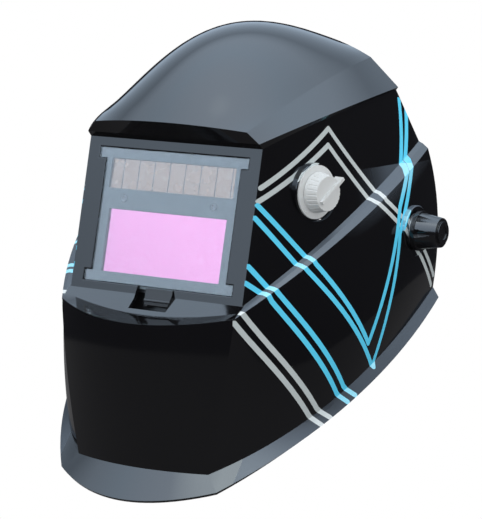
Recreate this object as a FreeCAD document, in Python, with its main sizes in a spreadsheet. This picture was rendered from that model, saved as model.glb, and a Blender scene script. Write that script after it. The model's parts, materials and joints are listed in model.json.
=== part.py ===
import FreeCAD, Part
import math
import os
import re
from FreeCAD import Matrix, Placement, Rotation, Vector

# Welding helmet with an auto-darkening filter, worn on a head harness.
# Frame: the origin is midway between the two tilt pivots, +X is the wearer's left,
# -Y is forward (where the wearer looks) and +Z is up. All lengths are millimetres.

doc = FreeCAD.newDocument("welding_helmet")
sheet = doc.addObject("Spreadsheet::Sheet", "sizes")
sheet.Label = "sizes"
next_row = [1]


def dimension(alias, value):
    """One driving dimension: its name in column A, its plain number in column B."""
    cell = "B%d" % next_row[0]
    sheet.set("A%d" % next_row[0], alias)
    sheet.set(cell, str(value))
    sheet.setAlias(cell, alias)
    next_row[0] += 1


DIMENSIONS = {
    # clearances: between pieces that move, between pieces that fit, and round a shaft
    "gap": 0.3,
    "fit": 0.2,
    "running": 0.08,
    # shell
    "wall": 2.5,
    "window_y": -131.0,
    "window_z": 14.5,
    "window_tilt": 13.9,
    "bezel_edge": 5.0,
    "sill_drop": 5.5,
    "head_rise": 6.4,
    "rear_y": 35.0,
    # I-shaped window of the filter: bars across the top and the bottom of a narrower middle
    "frame_top": 45.0,
    "frame_over": 1.0,
    "frame_step": 5.5,
    "frame_bar": 7.5,
    "flange": 2.0,
    "notch_half": 14.0,
    "notch_drop": 15.0,
    # filter cassette, measured inwards from the bezel's outer face
    "lens_front": 0.5,
    "lens_thick": 1.0,
    "case_back": 12.0,
    "case_half": 57.0,
    "case_wall": 2.0,
    "case_face": 1.8,
    "body_thick": 6.4,
    "view_inset": 9.0,
    "view_edge": 7.2,
    "view_to_solar": 13.8,
    "lcd_border": 3.0,
    "lcd_thick": 5.0,
    "solar_inset": 6.5,
    "solar_edge": 7.0,
    "solar_tall": 20.0,
    "solar_border": 1.5,
    "solar_thick": 2.0,
    "sensor_x": 35.0,
    "sensor_rise": 7.3,
    "sensor_radius": 2.3,
    "board_inset": 5.0,
    "board_tall": 34.0,
    "board_thick": 1.4,
    "back_thick": 1.6,
    "lens_inset": 3.5,
    "lens_over": 10.0,
    "trim_radius": 6.0,
    "trim_thick": 4.0,
    "trim_x": 13.0,
    "trim_shaft": 1.5,
    "cap_radius": 9.0,
    "cap_thick": 1.5,
    "cap_x": 40.0,
    # holder that clamps the cassette to the bezel, its screws and the latch below it
    "holder_wall": 5.0,
    "holder_edge": 4.0,
    "holder_lip": 1.2,
    "holder_grip": 3.0,
    "boss_clear": 3.0,
    "boss_z": 20.0,
    "boss_radius": 2.5,
    "screw_radius": 1.1,
    "screw_head": 2.2,
    "screw_head_thick": 1.6,
    "latch_left": -7.5,
    "latch_right": 13.5,
    "latch_lap": 0.8,
    "latch_tall": 8.7,
    "latch_pin_drop": 0.5,
    "latch_thick": 2.4,
    "latch_barrel": 2.5,
    "latch_pin_radius": 1.0,
    "latch_pin_depth": 6.8,
    "tongue_thick": 1.6,
    "ear_thick": 2.8,
    # shade dial on the left side
    "dial_y": -83.5,
    "dial_z": 34.0,
    "dial_turn": 12.0,
    "dial_boss": 19.0,
    "dial_proud": 1.2,
    "skirt_radius": 17.75,
    "skirt_thick": 1.4,
    "skirt_hole": 6.6,
    "pot_radius": 8.5,
    "pot_deep": 9.0,
    "bush_radius": 3.6,
    "nut_radius": 6.0,
    "nut_thick": 2.2,
    "shaft_radius": 3.0,
    "shade_radius": 13.5,
    "shade_face_radius": 11.5,
    "shade_long": 9.5,
    "pointer_wide": 2.2,
    "pointer_tall": 2.4,
    "pointer_back": 2.0,
    "pointer_reach": 15.5,
    "pointer_turn": 55.0,
    # tilt pivot, measured outwards along X
    "band_radius": 82.0,
    "band_wall": 1.8,
    "band_tall": 20.0,
    "band_front_y": -24.0,
    "band_rear_y": 22.0,
    "band_tilt": 22.0,
    "block_radius": 12.0,
    "block_end": 105.0,
    "bolt_radius": 4.0,
    "bolt_head": 7.0,
    "bolt_head_thick": 3.0,
    "bolt_seat": 2.0,
    "bolt_end": 131.0,
    "disc_radius": 17.0,
    "disc_thick": 2.0,
    "washer_radius": 13.0,
    "washer_thick": 1.8,
    "pivot_boss": 17.0,
    "tension_flange": 13.7,
    "tension_flange_thick": 3.0,
    "tension_base": 12.5,
    "tension_tip": 10.0,
    "tension_long": 17.5,
    "tension_disc": 7.8,
    "tension_disc_thick": 1.4,
    "insert_radius": 6.0,
    "lobes_radius": 3.4,
    # head harness
    "band_arc": 60.0,
    "sweat_thick": 6.5,
    "sweat_tall": 28.0,
    "sweat_arc": 58.0,
    "strap_thick": 1.6,
    "strap_tall": 24.0,
    "strap_start_angle": 17.0,
    "strap_end_angle": 107.5,
    "slot_start_angle": 67.0,
    "slot_end_angle": 104.5,
    "guide_start_angle": 22.0,
    "guide_end_angle": 50.5,
    "guide_at_angle": 40.0,
    "stud_radius": 2.5,
    "stud_head": 4.5,
    "stud_head_thick": 1.5,
    "pinion_pitch": 7.0,
    "pinion_root": 5.6,
    "pinion_tip": 8.2,
    "pinion_tooth": 1.6,
    "rack_tooth": 1.4,
    "rack_mesh": 1.2,
    "rack_gap": 0.6,
    "housing_arc": 24.0,
    "housing_tall": 33.0,
    "housing_wall": 1.4,
    "cover_thick": 2.2,
    "journal_radius": 3.0,
    "knob_shaft_radius": 4.5,
    "fit_knob_radius": 22.0,
    "scallop_out": 1.5,
    "fit_knob_thick": 13.0,
    "nape_thick": 8.0,
    "nape_end_arc": 1.5,
    "nape_tall": 44.0,
    "over_y": -18.5,
    "over_wide": 11.0,
    "over_thick": 1.2,
    "over_rise": 16.0,
    "over_lap": 14.0,
}
for name, value in DIMENSIONS.items():
    dimension(name, value)

# Sizes that follow from the ones above: what fits, seats on or lines up with another piece.
FITTED = {
    "case_top_z": "frame_top",
    "frame_half": "case_half + frame_over",
    "frame_mid_half": "frame_half - frame_step",
    "holder_half": "case_half + holder_wall",
    "holder_top": "case_top_z + holder_edge",
    "holder_open_half": "case_half - holder_grip",
    "holder_open_top": "inner_lens_tall / 2 - view_mid_z + gap",
    "window_half": "holder_half + bezel_edge",
    "window_low": "frame_top + sill_drop",
    "window_high": "frame_top + head_rise",
    "notch_low": "frame_top + notch_drop",
    "body_half": "case_half - case_wall",
    "body_top_z": "case_top_z - case_wall",
    "view_half": "body_half - view_inset",
    "view_tall": "2 * frame_top - view_edge - view_to_solar - solar_tall - solar_edge",
    "view_mid_z": "view_edge + view_tall / 2 - frame_top",
    "solar_half": "body_half - solar_inset",
    "solar_mid_z": "frame_top - solar_edge - solar_tall / 2",
    "sensor_z": "view_mid_z + view_tall / 2 + sensor_rise",
    "board_half": "body_half - board_inset",
    "inner_lens_half": "body_half - lens_inset",
    "inner_lens_tall": "view_tall + lens_over",
    "gland_x": "body_half - gland_inset",
    "boss_x": "case_half + boss_clear",
    "latch_top": "frame_top + latch_lap",
    "latch_low": "latch_top + latch_tall",
    "latch_pin_z": "latch_low + latch_pin_drop",
    "bolt_head_x": "band_radius + bolt_seat",
    "nape_arc": "90 - band_arc - nape_end_arc",
}

# The shell's feature lines, bottom to top. Each is given at four stations: the middle of the front,
# the front corner, halfway along the side, and the rear edge. Across, forward and up are measured
# from the window's centre. The rear station lies on the rear plane.
FEATURE_LINES = {
    "rim": ((0, -55, -176), (61, -33, -168), (109.5, 58, -119.3), (118, -66)),
    "lip": ((0, -38, -158.5), (51, -27, -159), (103.5, 49, -115.2), (113.5, -59.3)),
    "belly": ((0, -44, -108), (60.5, -26, -107), (109, 57, -59), (116.2, -8)),
    "chin": ((0, -45, -61.5), (67.5, -22, -55.5), (102.6, 66, -7.3), (107.9, 37)),
    "ledge": ((0, -25, -59.5), (67.5, -17.5, -52.5), (99, 66, -4.2), (104, 40)),
    "sill": (None, None, (96, 66, -3), (100.8, 41.5)),
    "head": (None, None, (81.5, 73, 65.7), (82.7, 75.8)),
    "brow": ((0, 6, 54), (66.8, 8.5, 53.5), (83, 73, 68), (84.2, 77.8)),
    "crown": ((0, -5, 65), (59, 6, 61), (65.5, 86, 85), (62.5, 97.5)),
}
STATIONS = ("front", "corner", "side", "rear")
for line, points in FEATURE_LINES.items():
    for station, point in zip(STATIONS, points):
        if point is None:
            continue
        axes = "xz" if station == "rear" else "xyz"
        for axis, value in zip(axes, point):
            if not (station == "front" and axis == "x"):
                dimension("%s_%s_%s" % (line, station, axis), value)
for alias, value in {"crown_mid_y": 72, "crown_mid_z": 118.5, "crown_rear_mid_z": 113.5}.items():
    dimension(alias, value)
doc.recompute()


def size(alias):
    return float(sheet.get(alias))


HALF_WINDOW = size("case_half") + size("holder_wall") + size("bezel_edge")
window_place = Placement(
    Vector(0, size("window_y"), size("window_z")),
    Rotation(Vector(1, 0, 0), -size("window_tilt")),
)


# ---------------------------------------------------------------- shell: skins from feature lines
def line_points(line):
    """A feature line's four stations as points in the model's frame."""
    if line in ("sill", "head"):
        margin = -size("sill_drop") if line == "sill" else size("head_rise")
        z = math.copysign(size("frame_top"), margin) + margin
        front = window_place.multVec(Vector(0, 0, z))
        corner = window_place.multVec(Vector(HALF_WINDOW, 0, z))
    else:
        front = Vector(0, size(line + "_front_y"), size(line + "_front_z"))
        corner = Vector(*[size("%s_corner_%s" % (line, a)) for a in "xyz"])
        front += window_place.Base
        corner += window_place.Base
    side = Vector(*[size("%s_side_%s" % (line, a)) for a in "xyz"]) + window_place.Base
    rear = Vector(size(line + "_rear_x"), size("rear_y"), size(line + "_rear_z") + size("window_z"))
    return [front, corner, side, rear]


def mirrored(v):
    return Vector(-v.x, v.y, v.z)


def inset(grid, crown_points, wall):
    """The grid moved inwards by the wall: each point goes to where the offset faces around it meet."""
    rows, columns = len(grid), len(grid[0])

    def normal(a, b, c):
        n = (b - a).cross(c - a)
        return n / n.Length if n.Length > 1e-9 else None

    moved = []
    for i in range(rows):
        row = []
        for j in range(columns):
            normals = []
            for di in (-1, 1):
                if not 0 <= i + di < rows:
                    continue
                for dj in (-1, 1):
                    if j + dj >= columns:
                        continue
                    beside = mirrored(grid[i][1]) if j + dj < 0 else grid[i][j + dj]
                    n = normal(grid[i][j], beside, grid[i + di][j])
                    if n is not None:
                        normals.append(n if di * dj > 0 else -n)
            if i == rows - 1:
                for a, b in crown_neighbours(grid, crown_points, j):
                    n = normal(grid[i][j], a, b)
                    normals.append(n)
            step = solve_offset(normals, wall, flat_y=(j == columns - 1), flat_x=(j == 0))
            row.append(grid[i][j] + step)
        moved.append(row)
    return moved


def crown_neighbours(grid, crown_points, j):
    """Pairs of points that span the crown's surface beside station j of the crown line."""
    top = grid[-1]
    mid, rear_mid = crown_points
    if j == 0:
        return [(top[1], mid)]
    if j == 1:
        return [(top[2], top[0])]
    if j == 2:
        return [(top[3], mid), (mid, top[1])]
    return [(rear_mid, top[2])]


def solve_offset(normals, wall, flat_y, flat_x):
    """The step that moves every face in normals inwards by the wall, by least squares."""
    soft = 1e-4
    m = [[soft, 0, 0], [0, soft, 0], [0, 0, soft]]
    right = [0, 0, 0]
    for n in normals:
        v = (0 if flat_x else n.x, 0 if flat_y else n.y, n.z)
        reach = -wall
        for a in range(3):
            right[a] += v[a] * reach
            for b in range(3):
                m[a][b] += v[a] * v[b]
    matrix = Matrix(m[0][0], m[0][1], m[0][2], 0, m[1][0], m[1][1], m[1][2], 0,
                    m[2][0], m[2][1], m[2][2], 0, 0, 0, 0, 1)
    return matrix.inverse().multVec(Vector(*right))


def control(a, through, b):
    """The middle pole of the parabola from a to b that passes through a point halfway."""
    return through * 2 - (a + b) * 0.5


def front_poles(row):
    return [mirrored(row[1]), control(mirrored(row[1]), row[0], row[1]), row[1]]


def side_poles(row, hand):
    corner, side, rear = row[1:] if hand > 0 else [mirrored(p) for p in row[1:]]
    return [corner, control(corner, side, rear), rear]


def bezier_face(*rows):
    """A face whose poles are given as 2 or 3 rows of 3 (or 2 rows of 2) points."""
    surface = Part.BSplineSurface()
    nu, nv = len(rows), len(rows[0])
    surface.buildFromPolesMultsKnots([list(r) for r in rows], [nu, nu], [nv, nv], [0, 1], [0, 1],
                                     False, False, nu - 1, nv - 1)
    return surface.toShape()


LINE_NAMES = list(FEATURE_LINES)
BELLY = LINE_NAMES.index("belly")


def skin_faces(grid, crown_points):
    """The faces of one skin: strips between feature lines, and the crown over them."""
    faces = []
    mid, rear_mid = crown_points
    for i in range(len(grid) - 1):
        if i == BELLY:
            continue
        if i == BELLY - 1:
            for poles in (front_poles, lambda r: side_poles(r, 1), lambda r: side_poles(r, -1)):
                low, through, high = poles(grid[i]), poles(grid[i + 1]), poles(grid[i + 2])
                middle = [control(a, m, b) for a, m, b in zip(low, through, high)]
                faces.append(bezier_face(low, middle, high))
            continue
        faces.append(bezier_face(front_poles(grid[i]), front_poles(grid[i + 1])))
        for hand in (1, -1):
            faces.append(bezier_face(side_poles(grid[i], hand), side_poles(grid[i + 1], hand)))
    top = grid[-1]
    front, right, left = front_poles(top), side_poles(top, 1), side_poles(top, -1)
    rear = [mirrored(top[3]), control(mirrored(top[3]), rear_mid, top[3]), top[3]]
    corners = front[0] + front[2] + rear[0] + rear[2]
    middles = front[1] + left[1] + right[1] + rear[1]
    centre = (mid - corners / 16 - middles / 8) * 4
    faces.append(bezier_face(front, [left[1], centre, right[1]], rear))
    return faces


def edge_strips(outer, inner, outer_crown, inner_crown):
    """The faces that join the two skins round the rim and up the rear edge."""
    faces = [bezier_face(front_poles(outer[0]), front_poles(inner[0]))]
    for hand in (1, -1):
        faces.append(bezier_face(side_poles(outer[0], hand), side_poles(inner[0], hand)))
        flip = (lambda v: v) if hand > 0 else mirrored
        for i in range(len(outer) - 1):
            if i == BELLY:
                continue
            pairs = []
            for grid in (outer, inner):
                a, b = flip(grid[i][3]), flip(grid[i + 1][3])
                if i == BELLY - 1:
                    high = flip(grid[i + 2][3])
                    pairs.append([a, control(a, b, high), high])
                else:
                    pairs.append([a, b])
            faces.append(bezier_face(*pairs))
    rears = []
    for grid, crown in ((outer, outer_crown), (inner, inner_crown)):
        end = grid[-1][3]
        rears.append([mirrored(end), control(mirrored(end), crown[1], end), end])
    faces.append(bezier_face(*rears))
    return faces


def make_shell_blank():
    outer = [line_points(name) for name in LINE_NAMES]
    base = window_place.Base
    crown = [Vector(0, size("crown_mid_y"), size("crown_mid_z")) + base,
             Vector(0, size("rear_y"), size("crown_rear_mid_z") + base.z)]
    wall = size("wall")
    inner = inset(outer, crown, wall)
    inner_crown = [crown[0] - Vector(0, 0, wall), crown[1] - Vector(0, 0, wall)]
    faces = skin_faces(outer, crown) + skin_faces(inner, inner_crown)
    faces += edge_strips(outer, inner, crown, inner_crown)
    shell = Part.makeShell(faces)
    shell.sewShape()
    solid = Part.Solid(shell)
    if solid.Volume < 0:
        solid.reverse()
    return solid


def surface_x(shape, y, z):
    """How far out on the left a shape's skin lies, at a given y and z."""
    ray = Part.makeLine(Vector(0, y, z), Vector(HALF_WINDOW * 3, y, z))
    return max(v.Point.x for v in shape.common(ray).Vertexes)


# ---------------------------------------------------------------- pieces bound to the sheet
def bound(expression):
    """An expression on the sheet's names, written the way the document reads them."""
    while any(name in FITTED for name in re.findall(r"[a-z]\w*", str(expression))):
        expression = re.sub(r"[a-z]\w*",
                            lambda m: "(%s)" % FITTED[m.group(0)] if m.group(0) in FITTED else m.group(0),
                            expression)
    return re.sub(r"[a-z]\w*(?![\w(])", lambda m: "sizes." + m.group(0), str(expression))


def bind(obj, **properties):
    for name, expression in properties.items():
        obj.setExpression(name, bound(expression))
    return obj


TURNS = {
    "z": (Vector(0, 0, 1), 0),
    "x": (Vector(0, 1, 0), 90),
    "-x": (Vector(0, 1, 0), -90),
    "y": (Vector(1, 0, 0), -90),
    "-y": (Vector(1, 0, 0), 90),
}


def place(obj, at, axis="z"):
    """Stand an object's own z axis along axis, with its foot at three expressions."""
    obj.Placement = Placement(Vector(), Rotation(*TURNS[axis]))
    for letter, expression in zip("xyz", at):
        if expression != 0:
            obj.setExpression("Placement.Base." + letter, bound(expression))
    return obj


def box(name, x, y, z):
    """A block between two expressions along each axis."""
    obj = doc.addObject("Part::Box", name)
    spans = ["(%s) - (%s)" % (high, low) for low, high in (x, y, z)]
    bind(obj, Length=spans[0], Width=spans[1], Height=spans[2])
    return place(obj, (x[0], y[0], z[0]))


def rod(name, radius, at, length, axis="z"):
    obj = bind(doc.addObject("Part::Cylinder", name), Radius=radius, Height=length)
    return place(obj, at, axis)


def taper(name, foot, top, at, length, axis):
    obj = bind(doc.addObject("Part::Cone", name), Radius1=foot, Radius2=top, Height=length)
    return place(obj, at, axis)


def fuse(name, *parts):
    obj = doc.addObject("Part::MultiFuse", name)
    obj.Shapes = list(parts)
    return obj


def cut(name, base, *tools):
    obj = doc.addObject("Part::Cut", name)
    obj.Base = base
    obj.Tool = tools[0] if len(tools) == 1 else fuse(name + "_tools", *tools)
    return obj


def arc_plate(name, outer, inner, z, start, sweep, centre):
    """Part of an upright ring: radii, bottom and top, first angle and sweep, centre along y."""
    height = "(%s) - (%s)" % (z[1], z[0])
    disc = bind(doc.addObject("Part::Cylinder", name + "_disc"), Radius=outer, Height=height, Angle=sweep)
    place(disc, (0, centre, z[0]))
    disc.setExpression("Placement.Rotation.Angle", bound(start))
    bore = rod(name + "_bore", inner, (0, centre, "(%s) - 1" % z[0]), height + " + 2")
    return cut(name, disc, bore)


FRAMES = {
    "pointer": ({"Rotation.Angle": "-pointer_turn"}, Vector(1, 0, 0)),
    "window": ({"Base.y": "window_y", "Base.z": "window_z", "Rotation.Angle": "-window_tilt"},
               Vector(1, 0, 0)),
    "band": ({"Rotation.Angle": "-band_tilt"}, Vector(1, 0, 0)),
    "dial": ({"Base.x": "dial_face_x", "Base.y": "dial_y", "Base.z": "dial_z",
              "Rotation.Angle": "-dial_turn"}, Vector(0, 0, 1)),
}


def framed(frame, *parts):
    """One object made of parts drawn in a local frame, standing where that frame stands."""
    obj = doc.addObject("Part::Compound", parts[0].Name + "_in_place")
    obj.Links = list(parts)
    if frame:
        values, axis = FRAMES[frame]
        obj.Placement = Placement(Vector(), Rotation(axis, -1))
        for path, expression in values.items():
            obj.setExpression("Placement." + path, bound(expression))
    return obj


nodes = []


def node(label, frame, *parts):
    """A finished sub-part under its own label."""
    obj = framed(frame, *parts)
    obj.Label = label
    nodes.append(obj)
    return obj


def mirror_node(label, source):
    """The right-hand twin of a left-hand sub-part."""
    obj = doc.addObject("Part::Mirroring", label)
    obj.Source = source
    obj.Normal = Vector(1, 0, 0)
    obj.Base = Vector()
    nodes.append(obj)
    return obj


def i_shape(name, grow, front, back):
    """The window's I shape, grown on every side, between two depths."""
    wide = "frame_half + %s" % grow
    slim = "frame_mid_half + %s" % grow
    top = "frame_top + %s" % grow
    neck = "frame_top - frame_bar - %s" % grow
    depth = (front, back)
    return fuse(
        name,
        box(name + "_head", ("-(%s)" % wide, wide), depth, (neck, top)),
        box(name + "_foot", ("-(%s)" % wide, wide), depth, ("-(%s)" % top, "-(%s)" % neck)),
        box(name + "_middle", ("-(%s)" % slim, slim), depth, ("-(%s)" % top, top)),
    )


def plate(name, half, top, front, back, middle="0"):
    """A block centred across, half wide and top tall each way about middle, between two depths."""
    return box(name, ("-(%s)" % half, half), (front, back),
               ("%s - (%s)" % (middle, top), "%s + (%s)" % (middle, top)))


# ---------------------------------------------------------------- shell
blank_shape = make_shell_blank()
dimension("pivot_face_x", round(surface_x(blank_shape, 0, 0) + size("gap"), 3))
dial_skin = surface_x(blank_shape, size("dial_y"), size("dial_z"))
dimension("dial_face_x", round(dial_skin + size("dial_proud"), 3))

blank = doc.addObject("Part::Feature", "shell_blank")
blank.Shape = blank_shape

CASE_FRONT = "lens_front + lens_thick + fit"
BODY_FRONT = CASE_FRONT + " + case_face"
BODY_BACK = BODY_FRONT + " + body_thick"
BACK_FACE = BODY_BACK + " + back_thick"
SEAT = "wall + flange"
HOLDER_BACK = "case_back + holder_lip"
BOSS_END = "block_end + disc_thick + washer_thick + running"
DIAL_SEAT = "dial_proud + wall * 2"

corners = [(i, j) for i in (-1, 1) for j in (-1, 1)]
pivot_boss = rod("pivot_boss_left", "pivot_boss", (BOSS_END, 0, 0), "pivot_face_x - (%s)" % BOSS_END, "x")
dial_boss = framed("dial", rod("dial_boss_plug", "dial_boss", ("-(%s)" % DIAL_SEAT, 0, 0), DIAL_SEAT, "x"))
screw_bosses = framed("window", *[
    rod("screw_boss", "boss_radius", ("%d * boss_x" % i, "wall / 2", "%d * boss_z" % j), SEAT + " - wall / 2",
        "y")
    for i, j in corners])
pivot_boss_right = doc.addObject("Part::Mirroring", "pivot_boss_right")
pivot_boss_right.Source = pivot_boss
pivot_boss_right.Normal = Vector(1, 0, 0)
shell_solid = fuse("shell_solid", blank, pivot_boss, pivot_boss_right, dial_boss, screw_bosses)
pivot_trims = [rod("pivot_trim", "pivot_boss", ("%d * pivot_face_x" % i, 0, 0), "wall * 3",
                   "x" if i > 0 else "-x")
               for i in (-1, 1)]
shell = cut(
    "shell_cut", shell_solid,
    framed("window", i_shape("opening", "0", "-wall * 2", "wall * 2")),
    framed("window", box("notch", ("-notch_half", "notch_half"), ("-notch_half", SEAT),
                         ("-notch_low", "wall - frame_top"))),
    framed("window", *[rod("pilot_hole", "screw_radius", ("%d * boss_x" % i, "wall / 2", "%d * boss_z" % j),
                           "wall * 3", "y") for i, j in corners]),
    framed("dial", rod("dial_trim", "dial_boss", (0, 0, 0), "dial_boss", "x"),
           rod("dial_hole", "bush_radius", ("-dial_boss", 0, 0), "dial_boss + wall", "x")),
    rod("pivot_hole", "bolt_radius + running", ("-bolt_end", 0, 0), "bolt_end * 2", "x"),
    *pivot_trims,
)
node("shell", None, shell)

# ---------------------------------------------------------------- filter cassette
node("cover_lens", "window", i_shape("lens", "-fit", "lens_front", "lens_front + lens_thick"))

sensor_places = [("%d * sensor_x" % i, "sensor_z") for i in (-1, 1)]
case = fuse(
    "case_solid",
    i_shape("case_face_plate", "-gap", CASE_FRONT, "wall"),
    i_shape("case_flange", "flange", "wall", SEAT),
    plate("case_rear", "case_half", "case_top_z", SEAT, "case_back"),
)
node("adf_case", "window", cut(
    "case_cut", case,
    plate("case_pocket", "body_half + fit", "body_top_z + fit", BODY_FRONT, "case_back * 2"),
    plate("case_view", "view_half", "view_tall / 2", "0", "case_back", "view_mid_z"),
    plate("case_solar", "solar_half", "solar_tall / 2", "0", "case_back", "solar_mid_z"),
    *[rod("case_sensor", "sensor_radius + fit", (x, 0, z), "case_back", "y") for x, z in sensor_places]))

LCD_HALF = "view_half + lcd_border"
LCD_TALL = "view_tall / 2 + lcd_border"
SOLAR_HALF = "solar_half + solar_border"
SOLAR_TALL = "solar_tall / 2 + solar_border"
BOARD_FRONT = BODY_BACK + " - board_thick"
node("adf_body", "window", cut(
    "body_cut", plate("body_block", "body_half", "body_top_z", BODY_FRONT, BODY_BACK),
    plate("body_view", LCD_HALF, LCD_TALL, "0", "case_back", "view_mid_z"),
    plate("body_solar", SOLAR_HALF, SOLAR_TALL, "0", BODY_FRONT + " + solar_thick", "solar_mid_z"),
    plate("body_board", "board_half", "board_tall / 2", BOARD_FRONT, "case_back",
          "body_top_z - board_tall / 2 - wall"),
    *[rod("body_sensor", "sensor_radius", (x, 0, z), BODY_FRONT + " + solar_thick", "y") for x,
      z in sensor_places]))
node("lcd_filter", "window",
     plate("lcd_block", LCD_HALF, LCD_TALL, BODY_FRONT, BODY_FRONT + " + lcd_thick", "view_mid_z"))
node("solar_panel", "window",
     plate("solar_block", SOLAR_HALF, SOLAR_TALL, BODY_FRONT, BODY_FRONT + " + solar_thick", "solar_mid_z"))
node("arc_sensors", "window", *[
    rod("sensor", "sensor_radius", (x, CASE_FRONT, z), "case_face + solar_thick", "y") for x,
    z in sensor_places])
node("adf_board", "window", plate("board_block", "board_half", "board_tall / 2", BOARD_FRONT, BODY_BACK,
                                  "body_top_z - board_tall / 2 - wall"))

trims = {"sensitivity_dial": -1, "delay_dial": 1}
node("adf_back", "window", cut(
    "back_cut", plate("back_block", "body_half", "body_top_z", BODY_BACK, BACK_FACE),
    plate("back_view", "view_half + 1", "view_tall / 2 + 1", "0", "case_back", "view_mid_z"),
    *[rod("trim_hole", "trim_shaft + running", ("%d * trim_x" % i, 0, "solar_mid_z"), "case_back", "y")
      for i in trims.values()]))
node("inner_lens", "window", plate("inner_lens_block", "inner_lens_half", "inner_lens_tall / 2",
                                   BACK_FACE, BACK_FACE + " + lens_thick", "view_mid_z"))
caps = []
for i in (-1, 1):
    disc = rod("cap_disc", "cap_radius", ("%d * cap_x" % i, BACK_FACE, "solar_mid_z"), "cap_thick", "y")
    slot = box("cap_slot", ("%d * cap_x - cap_radius / 2" % i, "%d * cap_x + cap_radius / 2" % i),
               (BACK_FACE + " + cap_thick / 2", BACK_FACE + " + cap_thick * 2"),
               ("solar_mid_z - cap_thick / 2", "solar_mid_z + cap_thick / 2"))
    caps.append(cut("cap", disc, slot))
node("battery_caps", "window", *caps)

TRIM_FOOT = BACK_FACE + " + gap"
for label, i in trims.items():
    centre = "%d * trim_x" % i
    turned = fuse(
        label + "_solid",
        rod("trim_disc", "trim_radius", (centre, TRIM_FOOT, "solar_mid_z"), "trim_thick", "y"),
        rod("trim_stem", "trim_shaft", (centre, BODY_BACK + " + fit", "solar_mid_z"), "back_thick + gap",
            "y"))
    groove = box("trim_groove", (centre + " - trim_shaft / 3", centre + " + trim_shaft / 3"),
                 (TRIM_FOOT + " + trim_thick / 2", TRIM_FOOT + " + trim_thick * 2"),
                 ("solar_mid_z", "solar_mid_z + trim_radius"))
    node(label, "window", cut(label + "_cut", turned, groove))

# ---------------------------------------------------------------- holder, screws and latch
LATCH_BACK = "wall - gap"
LATCH_FRONT = LATCH_BACK + " - latch_thick"
ears = []
ear_holes = []
for name, low in (("ear_right", "latch_left - gap - ear_thick"), ("ear_left", "latch_right + gap")):
    ears.append(box(name, (low, low + " + ear_thick"), (SEAT, "latch_pin_depth + ear_thick"),
                    ("-latch_pin_z - ear_thick", "wall - holder_top")))
TONGUE_FRONT = "latch_pin_depth + latch_barrel + gap"
tongue = box("holder_tongue", ("-notch_half - ear_thick", "notch_half + ear_thick"),
             (TONGUE_FRONT, TONGUE_FRONT + " + tongue_thick"),
             ("-notch_low - ear_thick", "wall - holder_top"))
holder_block = plate("holder_block", "holder_half", "holder_top", SEAT, HOLDER_BACK)
holder_solid = fuse("holder_solid", holder_block, tongue, *ears)
LATCH_PIN_START = "latch_left - gap - ear_thick"
LATCH_PIN_LONG = "latch_right - latch_left + 2 * (gap + ear_thick)"
node("filter_holder", "window", cut(
    "holder_cut", holder_solid,
    plate("holder_inside", "case_half + fit", "case_top_z + fit", "0", "case_back"),
    plate("holder_open", "holder_open_half", "holder_open_top", "0", "case_back * 2"),
    *[rod("holder_hole", "screw_radius + fit", ("%d * boss_x" % i, 0, "%d * boss_z" % j), "case_back * 2",
          "y")
      for i, j in corners],
    rod("ear_hole", "latch_pin_radius", (LATCH_PIN_START, "latch_pin_depth", "-latch_pin_z"), LATCH_PIN_LONG,
        "x")))
screws = []
for i, j in corners:
    at = ("%d * boss_x" % i, "wall / 2", "%d * boss_z" % j)
    head_at = (at[0], HOLDER_BACK, at[2])
    screws.append(fuse("holder_screw",
                       rod("screw_shank", "screw_radius", at, HOLDER_BACK + " - wall / 2", "y"),
                       rod("screw_head", "screw_head", head_at, "screw_head_thick", "y")))
node("holder_screws", "window", *screws)
node("latch_pin", "window", rod(
    "latch_pin_rod", "latch_pin_radius", (LATCH_PIN_START, "latch_pin_depth", "-latch_pin_z"), LATCH_PIN_LONG,
    "x"))

latch_across = ("latch_left", "latch_right")
latch_solid = fuse(
    "latch_solid",
    box("latch_plate", latch_across, (LATCH_FRONT, LATCH_BACK), ("-latch_low", "-latch_top")),
    box("latch_web", latch_across, (LATCH_FRONT, "latch_pin_depth"),
        ("-latch_pin_z - latch_barrel * 0.8", "-latch_pin_z + latch_barrel * 0.8")),
    box("latch_lip", latch_across, (LATCH_FRONT + " - latch_thick / 2", LATCH_FRONT),
        ("-latch_low", "-latch_low + latch_thick / 2")),
    rod("latch_hub", "latch_barrel", ("latch_left", "latch_pin_depth", "-latch_pin_z"),
        "latch_right - latch_left", "x"))
node("cover_latch", "window", cut("latch_cut", latch_solid, rod(
    "latch_bore", "latch_pin_radius + running", ("latch_left - 1", "latch_pin_depth", "-latch_pin_z"),
    "latch_right - latch_left + 2", "x")))

# ---------------------------------------------------------------- shade dial
SHADE_FOOT = "skirt_thick + gap"
SHADE_TOP = SHADE_FOOT + " + shade_long"
node("shade_skirt", "dial", cut("skirt_cut", rod("skirt_disc", "skirt_radius", (0, 0, 0), "skirt_thick", "x"),
                                rod("skirt_hole_rod", "skirt_hole", (-1, 0, 0), "skirt_thick + 2", "x")))
pot_solid = fuse("pot_solid",
                 rod("pot_can", "pot_radius", ("-(%s) - pot_deep" % DIAL_SEAT, 0, 0), "pot_deep", "x"),
                 rod("pot_bush", "bush_radius", ("-(%s)" % DIAL_SEAT, 0, 0), DIAL_SEAT + " + nut_thick", "x"))
POT_BORE_START = "-(%s) - pot_deep + wall" % DIAL_SEAT
node("shade_pot", "dial",
     cut("pot_cut", pot_solid, rod("pot_bore", "shaft_radius + running", (POT_BORE_START, 0, 0),
                                                       "dial_boss * 2", "x")))
nut = bind(doc.addObject("Part::Prism", "nut_hexagon"), Circumradius="nut_radius", Height="nut_thick")
nut.Polygon = 6
place(nut, (0, 0, 0), "x")
node("pot_nut", "dial", cut("nut_cut", nut, rod("nut_bore", "bush_radius", (-1, 0, 0), "nut_thick + 2", "x")))
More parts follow.
